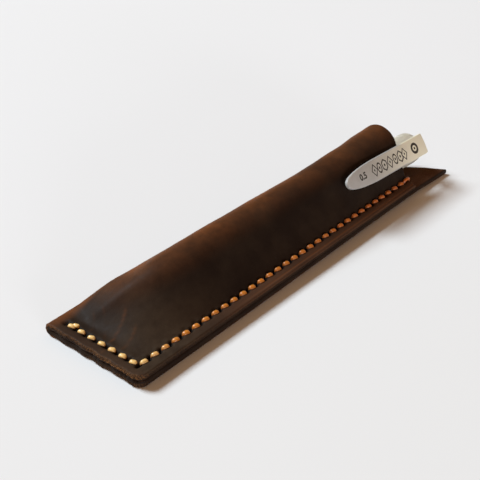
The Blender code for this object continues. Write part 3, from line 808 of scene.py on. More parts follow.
@dataclass
class LeatherSleeve:
    """The folded blank: front panel, fold, and back panel with its tongue."""

    # The blank
    leather: float = 2.0
    layer_gap: float = 0.2
    seam_margin: float = 3.9
    foot_margin: float = 3.5
    flat_width: float = 37.2
    mouth_x: float = 130.0
    mouth_slant: float = 0.12
    tongue_tip_x: float = 152.0
    tongue_slant: float = 0.62
    corner_radius: float = 2.6
    # Its section: heights over the table, slopes of the front wall, and radii of the fold, each by its x
    heights: Profile = ((2.6, 4.2), (9.0, 8.1), (15.0, 11.6), (21.0, 14.0), (27.0, 15.5), (45.0, 16.4),
                        (75.0, 17.5), (112.0, 19.7), (132.0, 20.9))
    wall_slopes: Profile = ((2.6, radians(34.0)), (22.0, radians(40.0)), (32.0, radians(42.5)),
                            (45.0, radians(43.5)), (76.0, radians(50.0)),
                            (112.0, radians(60.0)), (132.0, radians(62.0)))
    wall_start: float = 1.5
    wall_bend: float = 1.2
    top_radius: float = 7.0
    top_full_x: float = 32.0
    flat_top_y: float = 24.0
    fold_nearest_y: float = 12.0
    fold_clearance: float = 2.0
    fold_tolerance: float = 1e-4
    fold_radii: Profile = ((2.6, 1.1), (20.0, 4.4), (60.0, 5.4), (130.0, 6.2))
    sole_start: float = 4.0
    sole_bend: float = 4.0
    sole_seam_bend: float = 1.5
    tilt: float = radians(13.0)
    tilt_start_x: float = 20.0
    tilt_full_x: float = 118.0
    rim_lift: float = 0.5
    # Stitch holes, and the slots, puckers and pressed rows that the stitches leave
    pitch: float = 4.0
    long_holes: int = 32
    foot_holes: int = 7
    slot_turn: float = radians(45.0)
    slot_size: tuple[float, float] = (1.1, 0.5)
    slot_depth: float = 0.9
    slot_reach: float = 5.0
    pucker_away: float = 1.55
    pucker_radius: float = 0.85
    pucker_rise: float = 0.20
    row_width: float = 0.8
    row_depth: float = 0.14
    # Tooled line, creases, and the hide's own waves
    tool_line_away: float = 1.05
    tool_line_width: float = 0.22
    tool_line_depth: float = 0.16
    crease_width: float = 0.34
    crease_bow: float = 0.9
    crease_rise: float = 0.10
    crease_runs: tuple[Crease, ...] = (
        Crease((1.5, 16.5), (12.0, 21.0), 0.9), Crease((2.0, 19.0), (9.0, 26.5), 0.45),
        Crease((1.5, 12.2), (10.0, 15.0), 0.6), Crease((1.0, 24.0), (7.0, 28.0), 0.35),
        Crease((-3.0, 15.5), (-0.6, 16.5), 0.5),
    )
    wave_size: float = 16.0
    wave_height: float = 0.10
    pebble_size: float = 2.6
    pebble_height: float = 0.015
    ragged_depth: float = 0.16
    # The mesh: rounding of its edges, and spacing of its lines and stations
    edge_round: float = 0.5
    edge_steps: tuple[float, ...] = (0.0, 0.07, 0.18, 0.32, 0.5, 0.7)
    fine_step: float = 0.3
    fine_reach: float = 8.0
    coarse_step: float = 0.78
    end_steps: tuple[float, ...] = (0.0, 0.07, 0.18, 0.32, 0.5, 0.75, 1.05, 1.4)
    first_station: float = 1.8
    stations: int = 318
    section_step: float = 0.75
    rim_rows: int = 4
    rim_bulge: float = 0.10
    flat_radius: float = field(init=False)
    blank_width: float = field(init=False)
    origin: Vector = field(init=False)

    def __post_init__(self) -> None:
        """Works out the blank's width, and where the seam frame's origin is in the row frame."""
        self.flat_radius = 0.5 * (self.leather + self.layer_gap)
        straight = self.flat_width - 0.5 * self.leather - self.flat_radius
        self.blank_width = 2.0 * straight + pi * self.flat_radius
        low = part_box("leather_body")[0]
        edge = self.seam_margin * cos(self.tilt) + (self.flat_radius + 0.5 * self.leather) * sin(self.tilt)
        self.origin = low + Vector((self.foot_margin, edge, 0.0)) * MM

    def place(self, x: float, y: float, z: float) -> Vector:
        """Turns a point of the seam frame, in millimetres, into one of the row frame, in metres."""
        return self.origin + Vector((x, y, z)) * MM

    def seam_line(self, x: float) -> tuple[Vector, Vector, Vector]:
        """Frame of the stitch line at x, midway between the two layers.

        Args:
            x: Place along the sleeve.

        Returns:
            The point, the direction inward across the seam, and the seam's normal, all as (y, z).
        """
        rising = ease(x, self.tilt_start_x, self.tilt_full_x)
        share = float(rising * (1.0 - ease(x, self.mouth_x, self.tongue_tip_x)))
        tilt = self.tilt * share
        inward = Vector((cos(tilt), sin(tilt)))
        normal = Vector((-sin(tilt), cos(tilt)))
        half = self.flat_radius + 0.5 * self.leather
        height = self.rim_lift * share + self.seam_margin * sin(tilt) + half * cos(tilt)
        return Vector((0.0, height)), inward, normal

    def section_through(self, x: float, fold_y: float) -> list[Vector]:
        """Middle line of the leather across the sleeve, for a given place of the fold.

        Args:
            x: Place along the sleeve.
            fold_y: Place of the fold's centre.

        Returns:
            Points from the front panel's edge, over the top and the fold, to the back panel's edge.
        """
        seam, inward, normal = self.seam_line(x)
        half = 0.5 * self.leather
        opened = float(ease(x, self.heights[0][0], self.top_full_x))
        start = seam + self.wall_start * inward + self.flat_radius * normal
        lower_start = seam + self.wall_start * inward - self.flat_radius * normal
        top_radius = lerp(self.flat_radius, self.top_radius, opened)
        top_z = smooth_profile(x, self.heights) - half - top_radius
        slope = smooth_profile(x, self.wall_slopes)
        reach = (top_z - start.y + top_radius * cos(slope)) / sin(slope)
        wall_y = start.x + reach * cos(slope) + top_radius * sin(slope)
        top = Vector((lerp(self.flat_top_y, wall_y, opened), top_z))
        fold_radius = smooth_profile(x, self.fold_radii)
        fold = Vector((fold_y, half + fold_radius))
        leaves_top = tangent(top, top_radius, fold, fold_radius)
        top_arc = arc(top, top_radius, tangent(start, 0.0, top, top_radius), leaves_top)
        fold_arc = arc(fold, fold_radius, leaves_top, -0.5 * pi)
        sole = Vector((self.wall_start + self.sole_start, half))
        upper_edge = seam - self.seam_margin * inward + self.flat_radius * normal
        lower_edge = seam - self.seam_margin * inward - self.flat_radius * normal
        wall_corner = rounded(upper_edge, start, top_arc[0], self.wall_bend)
        sole_corner = rounded(fold_arc[-1], sole, lower_start, self.sole_bend)
        seam_corner = rounded(sole, lower_start, lower_edge, self.sole_seam_bend)
        return [upper_edge] + wall_corner + top_arc + fold_arc + sole_corner + seam_corner + [lower_edge]

    def section_at(self, x: float, lines: np.ndarray) -> np.ndarray:
        """Middle line at x, with the fold where the blank's constant width takes it.

        Args:
            x: Place along the sleeve.
            lines: Distances across the blank.

        Returns:
            One (y, z) to a line.
        """
        opened = float(ease(x, self.heights[0][0], self.top_full_x))
        nearest = lerp(self.flat_top_y, self.fold_nearest_y, opened) + self.fold_clearance
        farthest = self.flat_width
        while farthest - nearest > self.fold_tolerance:
            middle = 0.5 * (nearest + farthest)
            points = self.section_through(x, middle)
            if sum((after - before).length for before, after in zip(points, points[1:])) < self.blank_width:
                nearest = middle
            else:
                farthest = middle
        points = np.array([tuple(point) for point in self.section_through(x, nearest)])
        run = np.concatenate([[0.0], np.cumsum(np.linalg.norm(np.diff(points, axis=0), axis=1))])
        run *= self.blank_width / run[-1]
        return np.stack([np.interp(lines, run, points[:, 0]), np.interp(lines, run, points[:, 1])], axis=1)

    def blank_lines(self) -> np.ndarray:
        """Places the mesh's lines across the blank, close together at the seam and at its edges.

        Returns:
            Their distances from the front panel's long edge.
        """
        half = 0.5 * self.blank_width
        lines = list(self.edge_steps)
        while lines[-1] < self.fine_reach:
            lines.append(lines[-1] + self.fine_step)
        count = round((half - lines[-1]) / self.coarse_step)
        lines += [lerp(lines[-1], half, step / count) for step in range(1, count + 1)]
        return np.array(lines + [self.blank_width - line for line in reversed(lines[:-1])])

    def blank_shares(self) -> np.ndarray:
        """Places the mesh's stations along the blank, close together at both ends.

        Returns:
            Their shares of the blank's length.
        """
        length = self.tongue_tip_x + self.foot_margin
        ends = np.array(self.end_steps) / length
        first = self.first_station / length
        middle = np.linspace(first, 1.0 - first, self.stations)
        return np.concatenate([ends, middle, 1.0 - ends[::-1]])

    def blank_ends(self, line: float) -> tuple[float, float]:
        """Finds the two ends of the blank along a line.

        Args:
            line: Distance across the blank.

        Returns:
            The foot end and the mouth end.
        """
        from_edge = min(line, self.blank_width - line)
        cut = max(self.corner_radius - from_edge, 0.0)
        foot = -self.foot_margin + self.corner_radius - sqrt(self.corner_radius ** 2 - cut ** 2)
        mouth = self.mouth_x + self.mouth_slant * min(line, 0.5 * self.blank_width)
        if line > 0.5 * self.blank_width:
            slanted = self.tongue_tip_x - self.tongue_slant * from_edge
            mouth = max(mouth, slanted)
        return foot, mouth

    def stitches(self) -> list[Stitch]:
        """Lays out the stitch holes on the blank.

        Returns:
            The holes, from the fold end of the foot row to the mouth.
        """
        holes = []
        for step in range(self.foot_holes, 0, -1):
            holes.append(Stitch(0.0, self.seam_margin + self.pitch * step, (0.0, -1.0)))
        holes.append(Stitch(0.0, self.seam_margin, (sqrt(0.5), -sqrt(0.5))))
        for step in range(1, self.long_holes + 1):
            holes.append(Stitch(self.pitch * step, self.seam_margin, (1.0, 0.0)))
        return holes

    def surface(self) -> Skin:
        """Wraps the blank: a section at each station, read at each line.

        Returns:
            The middle surface in the seam frame.
        """
        lines = self.blank_lines()
        shares = self.blank_shares()
        xs = np.arange(-self.foot_margin, self.tongue_tip_x + self.section_step, self.section_step)
        sections = np.stack([self.section_at(float(x), lines) for x in xs])
        places = np.empty((len(lines), len(shares), 3))
        border = np.empty((len(lines), len(shares)))
        for row, line in enumerate(lines):
            foot, mouth = self.blank_ends(float(line))
            x = foot + (mouth - foot) * shares
            places[row, :, 0] = x
            places[row, :, 1] = np.interp(x, xs, sections[:, row, 0])
            places[row, :, 2] = np.interp(x, xs, sections[:, row, 1])
            side = min(line, self.blank_width - line)
            border[row] = np.minimum(np.minimum(x - foot, mouth - x), side)
        normals = np.cross(np.gradient(places, axis=1), np.gradient(places, axis=0))
        normals /= np.linalg.norm(normals, axis=2, keepdims=True)
        grid = np.repeat(lines[:, None], len(shares), axis=1)
        return Skin(
            places=places, normals=normals, lines=grid, near_edge=np.minimum(grid, self.blank_width - grid),
            border=border, front=grid < 0.5 * self.blank_width,
            flat=np.stack([places[..., 0].ravel(), grid.ravel()], axis=1),
        )

    def stitch_marks(self, x: np.ndarray, line: np.ndarray) -> tuple[np.ndarray, np.ndarray]:
        """Slots, pressed row and puckers that the stitches leave on either outer face, and painted shade in
        the slots and along the row.

        Args:
            x: Place along the sleeve of each vertex.
            line: Distance of each from the blank's nearer long edge.

        Returns:
            How far the face rises, in millimetres, and the painted shade.
        """
        rise = np.zeros_like(x)
        stitch_shade = np.zeros_like(x)
        slot_length, slot_width = self.slot_size
        for number, hole in enumerate(self.stitches()):
            away_x = x - hole.x
            away_line = line - hole.line
            near = (np.abs(away_x) < self.slot_reach) & (np.abs(away_line) < self.slot_reach)
            along_x, along_line = hole.along
            turn_x = along_x * cos(self.slot_turn) - along_line * sin(self.slot_turn)
            turn_line = along_x * sin(self.slot_turn) + along_line * cos(self.slot_turn)
            lengthwise = (away_x * turn_x + away_line * turn_line)[near]
            crosswise = np.exp(-((-away_x * turn_line + away_line * turn_x)[near] / slot_width) ** 2)
            rise[near] -= self.slot_depth * np.exp(-(lengthwise / slot_length) ** 4) * crosswise
            # The painted shade in the slot reaches a little past the slot's ends
            dark = 1.3 * np.exp(-(lengthwise / (slot_length + 0.05)) ** 4) * crosswise
            stitch_shade[near] = np.maximum(stitch_shade[near], dark)
            centre_x, centre_line = hole.x, hole.line + self.pucker_away
            if number < self.foot_holes:
                centre_x, centre_line = hole.x + self.pucker_away, hole.line
            away = np.hypot(x - centre_x, line - centre_line)[near]
            swell = self.pucker_rise + 0.07 * sin(2.1 * number)
            rise[near] += swell * np.exp(-(away / self.pucker_radius) ** 2)
        foot_end = self.seam_margin + self.pitch * self.foot_holes
        row = np.exp(-((line - self.seam_margin) / self.row_width) ** 2) * ease(x, -1.0, 1.0)
        foot_row = np.exp(-(x / self.row_width) ** 2) * (1.0 - ease(line, foot_end - 0.9, foot_end + 1.6))
        foot_row *= ease(line, self.seam_margin - 0.9, self.seam_margin + 0.1)
        pressed = np.maximum(row, foot_row)
        # The pressed row also gets a lighter painted shade
        return rise - self.row_depth * pressed, np.maximum(stitch_shade, 0.35 * pressed)

    def creases(self, x: np.ndarray, line: np.ndarray) -> np.ndarray:
        """Light creases that run up from the foot row, where the sleeve opens.

        Args:
            x: Place along the sleeve of each vertex.
            line: Distance of each from the front panel's long edge.

        Returns:
            How strong the crease is at each vertex.
        """
        total = np.zeros_like(x)
        for run in self.crease_runs:
            x0, line0 = run.start
            run_x, run_line = run.end[0] - x0, run.end[1] - line0
            squared = run_x ** 2 + run_line ** 2
            share = np.clip(((x - x0) * run_x + (line - line0) * run_line) / squared, 0.0, 1.0)
            bow = self.crease_bow * np.sin(pi * share)
            away = np.hypot(x - x0 - share * run_x, line - line0 - share * run_line + bow)
            fading = np.sin(pi * np.clip(share, 0.02, 0.98)) ** 0.5
            total += run.strength * np.exp(-(away / self.crease_width) ** 2) * fading
        return total

    def marks(self, skin: Skin) -> Marks:
        """Adds up stitch marks, creases, the tooled line and the hide's own waves.

        Args:
            skin: The middle surface.

        Returns:
            The marks, whose lift only sinks on the back panel, so that it lies flat.
        """
        x = skin.places[..., 0]
        rise, stitch_shade = self.stitch_marks(x, skin.near_edge)
        crease = self.creases(x, skin.lines) * skin.front
        tool_line = np.exp(-((skin.near_edge - self.tool_line_away) / self.tool_line_width) ** 2)
        tool_line *= ease(x, 30.0, 60.0) * skin.front
        wave = steady_noise(skin.flat, self.wave_size, 3).reshape(x.shape) * ease(skin.border, 1.0, 8.0)
        pebble = steady_noise(skin.flat, self.pebble_size, 5).reshape(x.shape)
        lift = rise + self.crease_rise * crease - self.tool_line_depth * tool_line
        lift += self.wave_height * wave * skin.front + self.pebble_height * pebble
        lift = np.where(skin.front, lift, np.minimum(lift, 0.0))
        return Marks(lift, stitch_shade, crease, tool_line, pebble)

    def fray_foot(self, skin: Skin) -> None:
        """Moves the foot's edge in and out along the sleeve, as a knife leaves it.

        Args:
            skin: The middle surface, which is changed.
        """
        x = skin.places[..., 0]
        across = skin.places[..., 1].reshape(-1, 1)
        ragged = steady_noise(across, 7.0, 21) + 0.5 * steady_noise(across, 1.8, 22)
        at_edge = 1.0 - ease(x, -self.foot_margin, -0.5)
        skin.places[..., 0] += self.ragged_depth * ragged.reshape(x.shape) * at_edge

    def faces(self, skin: Skin, marks: Marks) -> tuple[np.ndarray, np.ndarray]:
        """Gives the middle surface its thickness, rounded off towards the cut edges.

        Args:
            skin: The middle surface.
            marks: The marks in the grain side.

        Returns:
            The places of the grain side and of the flesh side.
        """
        inset = np.clip(self.edge_round - skin.border, 0.0, self.edge_round)
        thick = 0.5 * self.leather - self.edge_round + np.sqrt(self.edge_round ** 2 - inset ** 2)
        outer = skin.places + skin.normals * (thick + marks.lift)[..., None]
        inner = skin.places - skin.normals * (thick * (1.0 + 0.03 * marks.pebble))[..., None]
        return outer, inner

    def rim(self, skin: Skin, outer: np.ndarray, inner: np.ndarray) -> Rim:
        """Closes the cut edge with rings of points that bulge and fray, most at the foot.

        Args:
            skin: The middle surface.
            outer: Places of the grain side.
            inner: Places of the flesh side.

        Returns:
            The rim.
        """
        rows, columns = skin.lines.shape
        loop = [(0, column) for column in range(columns)]
        loop += [(row, columns - 1) for row in range(1, rows)]
        loop += [(rows - 1, column) for column in range(columns - 2, -1, -1)]
        loop += [(row, 0) for row in range(rows - 2, 0, -1)]
        loop_rows = np.array([row for row, _ in loop])
        loop_columns = np.array([column for _, column in loop])
        top = outer[loop_rows, loop_columns]
        bottom = inner[loop_rows, loop_columns]
        away = top - skin.places[np.clip(loop_rows, 2, rows - 3), np.clip(loop_columns, 2, columns - 3)]
        level = skin.normals[loop_rows, loop_columns]
        away -= level * np.sum(away * level, axis=1, keepdims=True)
        away /= np.linalg.norm(away, axis=1, keepdims=True) + 1e-9
        at_foot = 1.0 - ease(top[:, 0], -3.2, 1.0)
        between = []
        for step in range(1, self.rim_rows):
            share = step / self.rim_rows
            points = top + (bottom - top) * share
            fray = steady_noise(points, 0.9, 11 + step) * (0.035 + 0.11 * at_foot)
            bulge = self.rim_bulge * (sin(pi * share) - 0.5)
            between.append(points + away * (bulge + fray)[:, None])
        return Rim(loop_rows, loop_columns, top, between, at_foot)

    def mesh(self, outer: np.ndarray, inner: np.ndarray, rim: Rim) -> bpy.types.Mesh:
        """Makes the closed mesh: grain side, flesh side and the cut edge that joins them.

        Args:
            outer: Places of the grain side.
            inner: Places of the flesh side.
            rim: The cut edge.

        Returns:
            The mesh, in the row frame.
        """
        rows, columns = outer.shape[:2]
        count = rows * columns
        ring = len(rim.rows)
        index = np.arange(count).reshape(rows, columns)
        corners = [index[:-1, :-1], index[:-1, 1:], index[1:, 1:], index[1:, :-1]]
        grain_quads = np.stack(corners, axis=-1).reshape(-1, 4)
        quads = [grain_quads, (grain_quads + count)[:, ::-1]]
        edges = [index[rim.rows, rim.columns]]
        edges += [2 * count + ring * step + np.arange(ring) for step in range(self.rim_rows - 1)]
        edges += [index[rim.rows, rim.columns] + count]
        for upper, lower in zip(edges, edges[1:]):
            quads.append(np.stack([upper, lower, np.roll(lower, -1), np.roll(upper, -1)], axis=1))
        places = np.concatenate([outer.reshape(-1, 3), inner.reshape(-1, 3)] + rim.between)
        mesh = bpy.data.meshes.new("leather_sleeve")
        mesh.from_pydata((places * MM + np.array(self.origin)).tolist(), [], np.concatenate(quads).tolist())
        mesh.update()
        mesh.shade_smooth()
        return mesh

    def spread(self, rim: Rim, grain: np.ndarray, flesh: Optional[np.ndarray] = None,
               cut: Optional[np.ndarray] = None) -> np.ndarray:
        """Joins one mask's values for both sides and the cut edge, with 0 for those that are not given.

        Args:
            rim: The cut edge.
            grain: Values of the grain side.
            flesh: Values of the flesh side.
            cut: Values of one ring of the cut edge.

        Returns:
            One value to a vertex of the mesh.
        """
        on_flesh = np.zeros(grain.size) if flesh is None else flesh.ravel()
        on_cut = np.zeros(len(rim.rows)) if cut is None else cut
        return np.concatenate([grain.ravel(), on_flesh, np.tile(on_cut, self.rim_rows - 1)])

    def masks(self, skin: Skin, marks: Marks, rim: Rim) -> dict[str, np.ndarray]:
        """Works out where the leather's colours lie.

        The warm brown along the fold is partly where the wax leaves the bent hide and partly painted sheen,
        and where the fold meets the foot it is a painted highlight. The grey near the foot is a painted
        reflection of the pale sky, where the leather faces up. The flange mask is the handled edge outside
        the stitches, and the rim mask the cut fibres, kept dimmer on the lower layer as painted shade. The
        near black in the stitch slots and along the pressed rows is painted shade. Each ease is given the two
        places between which its mask comes in, in millimetres from an edge or along the sleeve.

        Args:
            skin: The middle surface.
            marks: The marks in the grain side.
            rim: The cut edge.

        Returns:
            One mask to a name, with a value for each vertex of the mesh.
        """
        x = skin.places[..., 0]
        edge = skin.near_edge
        patch = 0.5 + 0.5 * steady_noise(skin.flat, 24.0, 7).reshape(x.shape)
        # Fold band, partly painted sheen where the top of the fold faces the key light
        fold_line = ease(edge, 16.5, 32.5) * (1.0 - 0.45 * ease(skin.lines, 34.0, 40.0))
        fold_pull_and_sheen = 0.76 * fold_line * (0.62 + 0.38 * patch) * ease(x, 6.0, 26.0)
        # Painted highlight on the swell where the fold meets the foot
        foot_highlight = 0.6 * ease(edge, 31.5, 35.5) * (1.0 - ease(x, 14.0, 30.0))
        # Painted reflection: the up-facing leather near the foot and the long seam turns grey
        bloom_and_sheen = (1.0 - ease(x, 4.0, 44.0)) * (1.0 - 0.85 * ease(edge, 9.0, 25.0)) * (0.5 + 0.35 * patch)
        flange = (1.0 - ease(edge, 2.4, 4.6)) * (0.65 + 0.3 * patch) * ease(x, 8.0, 50.0)
        foot_flange = 0.25 * (1.0 - ease(x, -2.6, 0.4))
        frayed = np.exp(-(skin.border / 0.25) ** 2) * np.where(x < -2.0, 0.4, 0.08) * (0.5 + 0.5 * patch)
        corner = 1.0 - ease(rim.outer[:, 1], 4.0, 22.0)
        # The lower layer's cut edge keeps less of its pale fibre colour: painted shade, so that it reads
        # thinner
        upper_layer = 2 * rim.rows < len(skin.lines)
        cut = (0.08 + (0.08 + 0.6 * corner) * rim.at_foot) * np.where(upper_layer, 1.0, 0.3)
        return {
            "pull_and_sheen": self.spread(rim, np.maximum(fold_pull_and_sheen, foot_highlight)),
            "bloom_and_sheen": self.spread(rim, bloom_and_sheen * skin.front),
            "flange": self.spread(rim, np.maximum(flange, foot_flange)),
            "crease": self.spread(rim, np.maximum(0.34 * marks.crease, 0.3 * marks.tool_line)),
            "flesh": self.spread(rim, np.zeros_like(x), ease(skin.border, 0.1, 0.9)),
            "rim": self.spread(rim, frayed, None, cut),
            "stitch_shade": self.spread(rim, marks.stitch_shade),
        }

    def build(self) -> bpy.types.Object:
        """Makes the leather's mesh, its masks and its material.

        Returns:
            The finished piece.
        """
        skin = self.surface()
        marks = self.marks(skin)
        self.fray_foot(skin)
        outer, inner = self.faces(skin, marks)
        rim = self.rim(skin, outer, inner)
        item = bpy.data.objects.new("leather_sleeve", self.mesh(outer, inner, rim))
        bpy.context.scene.collection.objects.link(item)
        for name, values in self.masks(skin, marks, rim).items():
            set_mask(item, name, values)
        return finish_piece(item, "leather_sleeve", WaxedLeather().material(), Body.SLEEVE,
                            ["leather_body"])


def tangent(centre0: Vector, radius0: float, centre1: Vector, radius1: float) -> float:
    """Angle of the normal of the straight run from one pulley to the next, on their left side."""
    run = centre1 - centre0
    return atan2(run.y, run.x) + acos((radius0 - radius1) / run.length)


def arc(centre: Vector, radius: float, start: float, end: float, steps: int = 24) -> list[Vector]:
    """Points along an arc, both ends included."""
    angles = [lerp(start, end, step / steps) for step in range(steps + 1)]
    return [centre + radius * Vector((cos(angle), sin(angle))) for angle in angles]


def rounded(before: Vector, corner: Vector, after: Vector, radius: float, steps: int = 8) -> list[Vector]:
    """Rounds off a corner with an arc.

    Args:
        before: A point on the straight that comes in.
        corner: The corner.
        after: A point on the straight that goes out.
        radius: Radius of the arc.
        steps: Parts of the arc.

    Returns:
        Points along the arc, or the corner itself where the two straights are nearly one.
    """
    back = (before - corner).normalized()
    ahead = (after - corner).normalized()
    half_angle = 0.5 * back.angle(ahead)
    if half_angle > 0.5 * pi - 0.01:
        return [corner]
    reach = radius * cos(half_angle) / sin(half_angle)
    centre = corner + (back + ahead).normalized() * radius / sin(half_angle)
    first = corner + back * reach - centre
    last = corner + ahead * reach - centre
    return [centre + radius * first.lerp(last, step / steps).normalized() for step in range(steps + 1)]


# ---------------------------------------------------------------- thread


@dataclass
class SeamStitching:
    """Saddle stitches on both faces of the seam, and the one that wraps the mouth edge."""

    sleeve: LeatherSleeve
    length: float = 2.65
    width: float = 1.48
    height: float = 1.15
    slant: float = radians(-15.0)
    foot_slant: float = radians(17.0)
    dip: float = 0.75
    plies: int = 3
    ply_depth: float = 0.07
    twist: float = 5.0
    front_sunk: float = 0.02
    sole_sunk: float = -0.7
    longest: float = 1.1
    turn_play: float = 0.05
    width_play: float = 0.08
    doubled_shift: tuple[float, float] = (0.85, -0.9)
    # Painted shade on the stitches' lower sides: its reach about the leather's face, and its strength
    underside_shade_depth: float = 0.4
    underside_shade: float = 0.9
    # Painted light along the row: palest where lit at the foot, orange from the second place on
    pale_x: float = -2.0
    orange_x: float = 16.0
    wrap_radius: float = 0.56
    half: float = field(init=False)

    def __post_init__(self) -> None:
        """Works out the distance of either face from the middle of the seam."""
        self.half = self.sleeve.flat_radius + 0.5 * self.sleeve.leather

    def seed(self) -> bpy.types.Object:
        """Models one stitch: a fat twisted seed whose two ends turn down into the leather.

        Returns:
            The seed, along X.
        """
        start_piece()
        bpy.ops.mesh.primitive_uv_sphere_add(
            segments=14, ring_count=12, radius=1.0, rotation=(0.0, 0.5 * pi, 0.0),
        )
        item = bpy.context.object
        apply_place()
        places = get_places(item)
        x = np.clip(places[:, 0], -1.0, 1.0)
        ring = np.hypot(places[:, 1], places[:, 2])
        angle = np.arctan2(places[:, 2], places[:, 1])
        body = (1.0 - np.abs(x) ** 2.6) ** 0.62 * (ring > 1e-4)
        ply = 1.0 + self.ply_depth * np.cos(self.plies * angle - self.twist * x)
        shaped = np.stack([
            0.5 * self.length * x,
            0.5 * self.width * body * ply * np.cos(angle),
            0.5 * self.height * body * ply * np.sin(angle) - self.dip * np.abs(x) ** 5,
        ], axis=1)
        set_places(item, shaped * MM)
        return item

    def build(self) -> bpy.types.Object:
        """Places the stitches, adds the wrap at the mouth, and joins them into one piece.

        Returns:
            The finished piece.
        """
        sleeve = self.sleeve
        holes = sleeve.stitches()
        pairs = list(zip(holes, holes[1:]))
        # The row starts at the fold with one stitch sewn twice, its second pass beside the first
        shift_x, shift_line = self.doubled_shift
        doubled = [Stitch(shift_x, hole.line + shift_line, hole.along) for hole in holes[:2]]
        pairs.append((doubled[0], doubled[1]))
        model = self.seed()
        copies = []
        for number, (first, last) in enumerate(pairs):
            for side in (1, -1):
                copies.append(self.stitch(model, first, last, side, number))
        bpy.data.objects.remove(model)
        copies.append(self.mouth_wrap())
        item = settle(join(copies), Matrix.Identity(4), radians(60.0))
        places = get_places(item)
        heights = np.array([sleeve.seam_line((x - sleeve.origin.x) / MM)[0].y for x in places[:, 0]])
        above = (places[:, 2] - sleeve.origin.z) / MM - heights
        # Painted shade on the thread below the leather's face and just above it
        sunk = 1.0 - ease(np.abs(above), self.half - self.underside_shade_depth, self.half + self.underside_shade_depth)
        set_mask(item, "sunk", self.underside_shade * sunk)
        stations = [sleeve.place(x, 0.0, 0.0).x for x in (self.pale_x, self.orange_x, sleeve.mouth_x)]
        thread = WaxedThread().material(*stations)
        return finish_piece(item, "saddle_stitches", thread, Body.SLEEVE, ["seam_thread"])

    def stitch(self, model: bpy.types.Object, first: Stitch, last: Stitch, side: int,
               number: int) -> bpy.types.Object:
        """Copies the seed between two holes.

        Args:
            model: The seed.
            first: Hole where the stitch starts.
            last: Hole where it ends.
            side: 1 for the front face and -1 for the sole.
            number: Stitch's number, which varies it a little.

        Returns:
            The copy, in its place.
        """
        sleeve = self.sleeve
        middle_x = 0.5 * (first.x + last.x)
        middle_y = 0.5 * (first.line + last.line) - sleeve.seam_margin
        seam, _, normal = sleeve.seam_line(middle_x)
        up = Vector((0.0, normal.x, normal.y)) * side
        step = Vector((last.x - first.x, last.line - first.line, 0.0))
        rise = sleeve.seam_line(last.x)[0].y - sleeve.seam_line(first.x)[0].y
        along = Vector((step.x, step.y, rise)).normalized()
        across = up.cross(along).normalized()
        slant = self.foot_slant if first.x == last.x else self.slant
        turn = slant + self.turn_play * sin(3.7 * number)
        forward = along * cos(turn) + across * sin(turn)
        sideways = up.cross(forward).normalized()
        sunk = self.front_sunk if side > 0 else self.sole_sunk
        middle = Vector((middle_x, middle_y, seam.y)) + up * (self.half + sunk)
        stretch = min(step.length / sleeve.pitch, self.longest)
        fatness = 1.0 + self.width_play * sin(5.3 * number)
        item = model.copy()
        item.data = model.data.copy()
        bpy.context.scene.collection.objects.link(item)
        axes = Matrix((forward * stretch, sideways * fatness, up)).transposed().to_4x4()
        item.matrix_world = Matrix.Translation(sleeve.place(*middle)) @ axes
        pick([item])
        apply_place()
        return item

    def mouth_wrap(self) -> bpy.types.Object:
        """Models the double thread from the last hole, over the mouth edge, and down to the back panel.

        Returns:
            The wrap, in its place.
        """
        sleeve = self.sleeve
        last_x = sleeve.pitch * sleeve.long_holes
        seam, _, normal = sleeve.seam_line(last_x)
        up = Vector((0.0, normal.x, normal.y))
        over = sleeve.mouth_x + 0.75
        # Place along the sleeve and height over the front face: out of the hole, over the edge, and down
        run = ((last_x - 0.1, -0.5), (last_x + 0.25, 0.12), (last_x + 0.9, 0.42), (sleeve.mouth_x, 0.38),
               (over, 0.05), (over + 0.25, -0.8), (over + 0.3, -1.9), (over + 0.3, -2.6))
        points = [Vector((x, 0.0, seam.y)) + up * (self.half + rise) for x, rise in run]
        curve = bpy.data.curves.new("mouth_wrap", "CURVE")
        curve.dimensions = "3D"
        curve.bevel_depth = self.wrap_radius * MM
        curve.bevel_resolution = 3
        curve.use_fill_caps = True
        spline = curve.splines.new("BEZIER")
        spline.bezier_points.add(len(points) - 1)
        for knot, point in zip(spline.bezier_points, points):
            knot.co = sleeve.place(*point)
            knot.handle_left_type = "AUTO"
            knot.handle_right_type = "AUTO"
        item = bpy.data.objects.new("mouth_wrap", curve)
        bpy.context.scene.collection.objects.link(item)
        pick([item])
        bpy.ops.object.convert(target="MESH")
        return bpy.context.object


# ---------------------------------------------------------------- pen


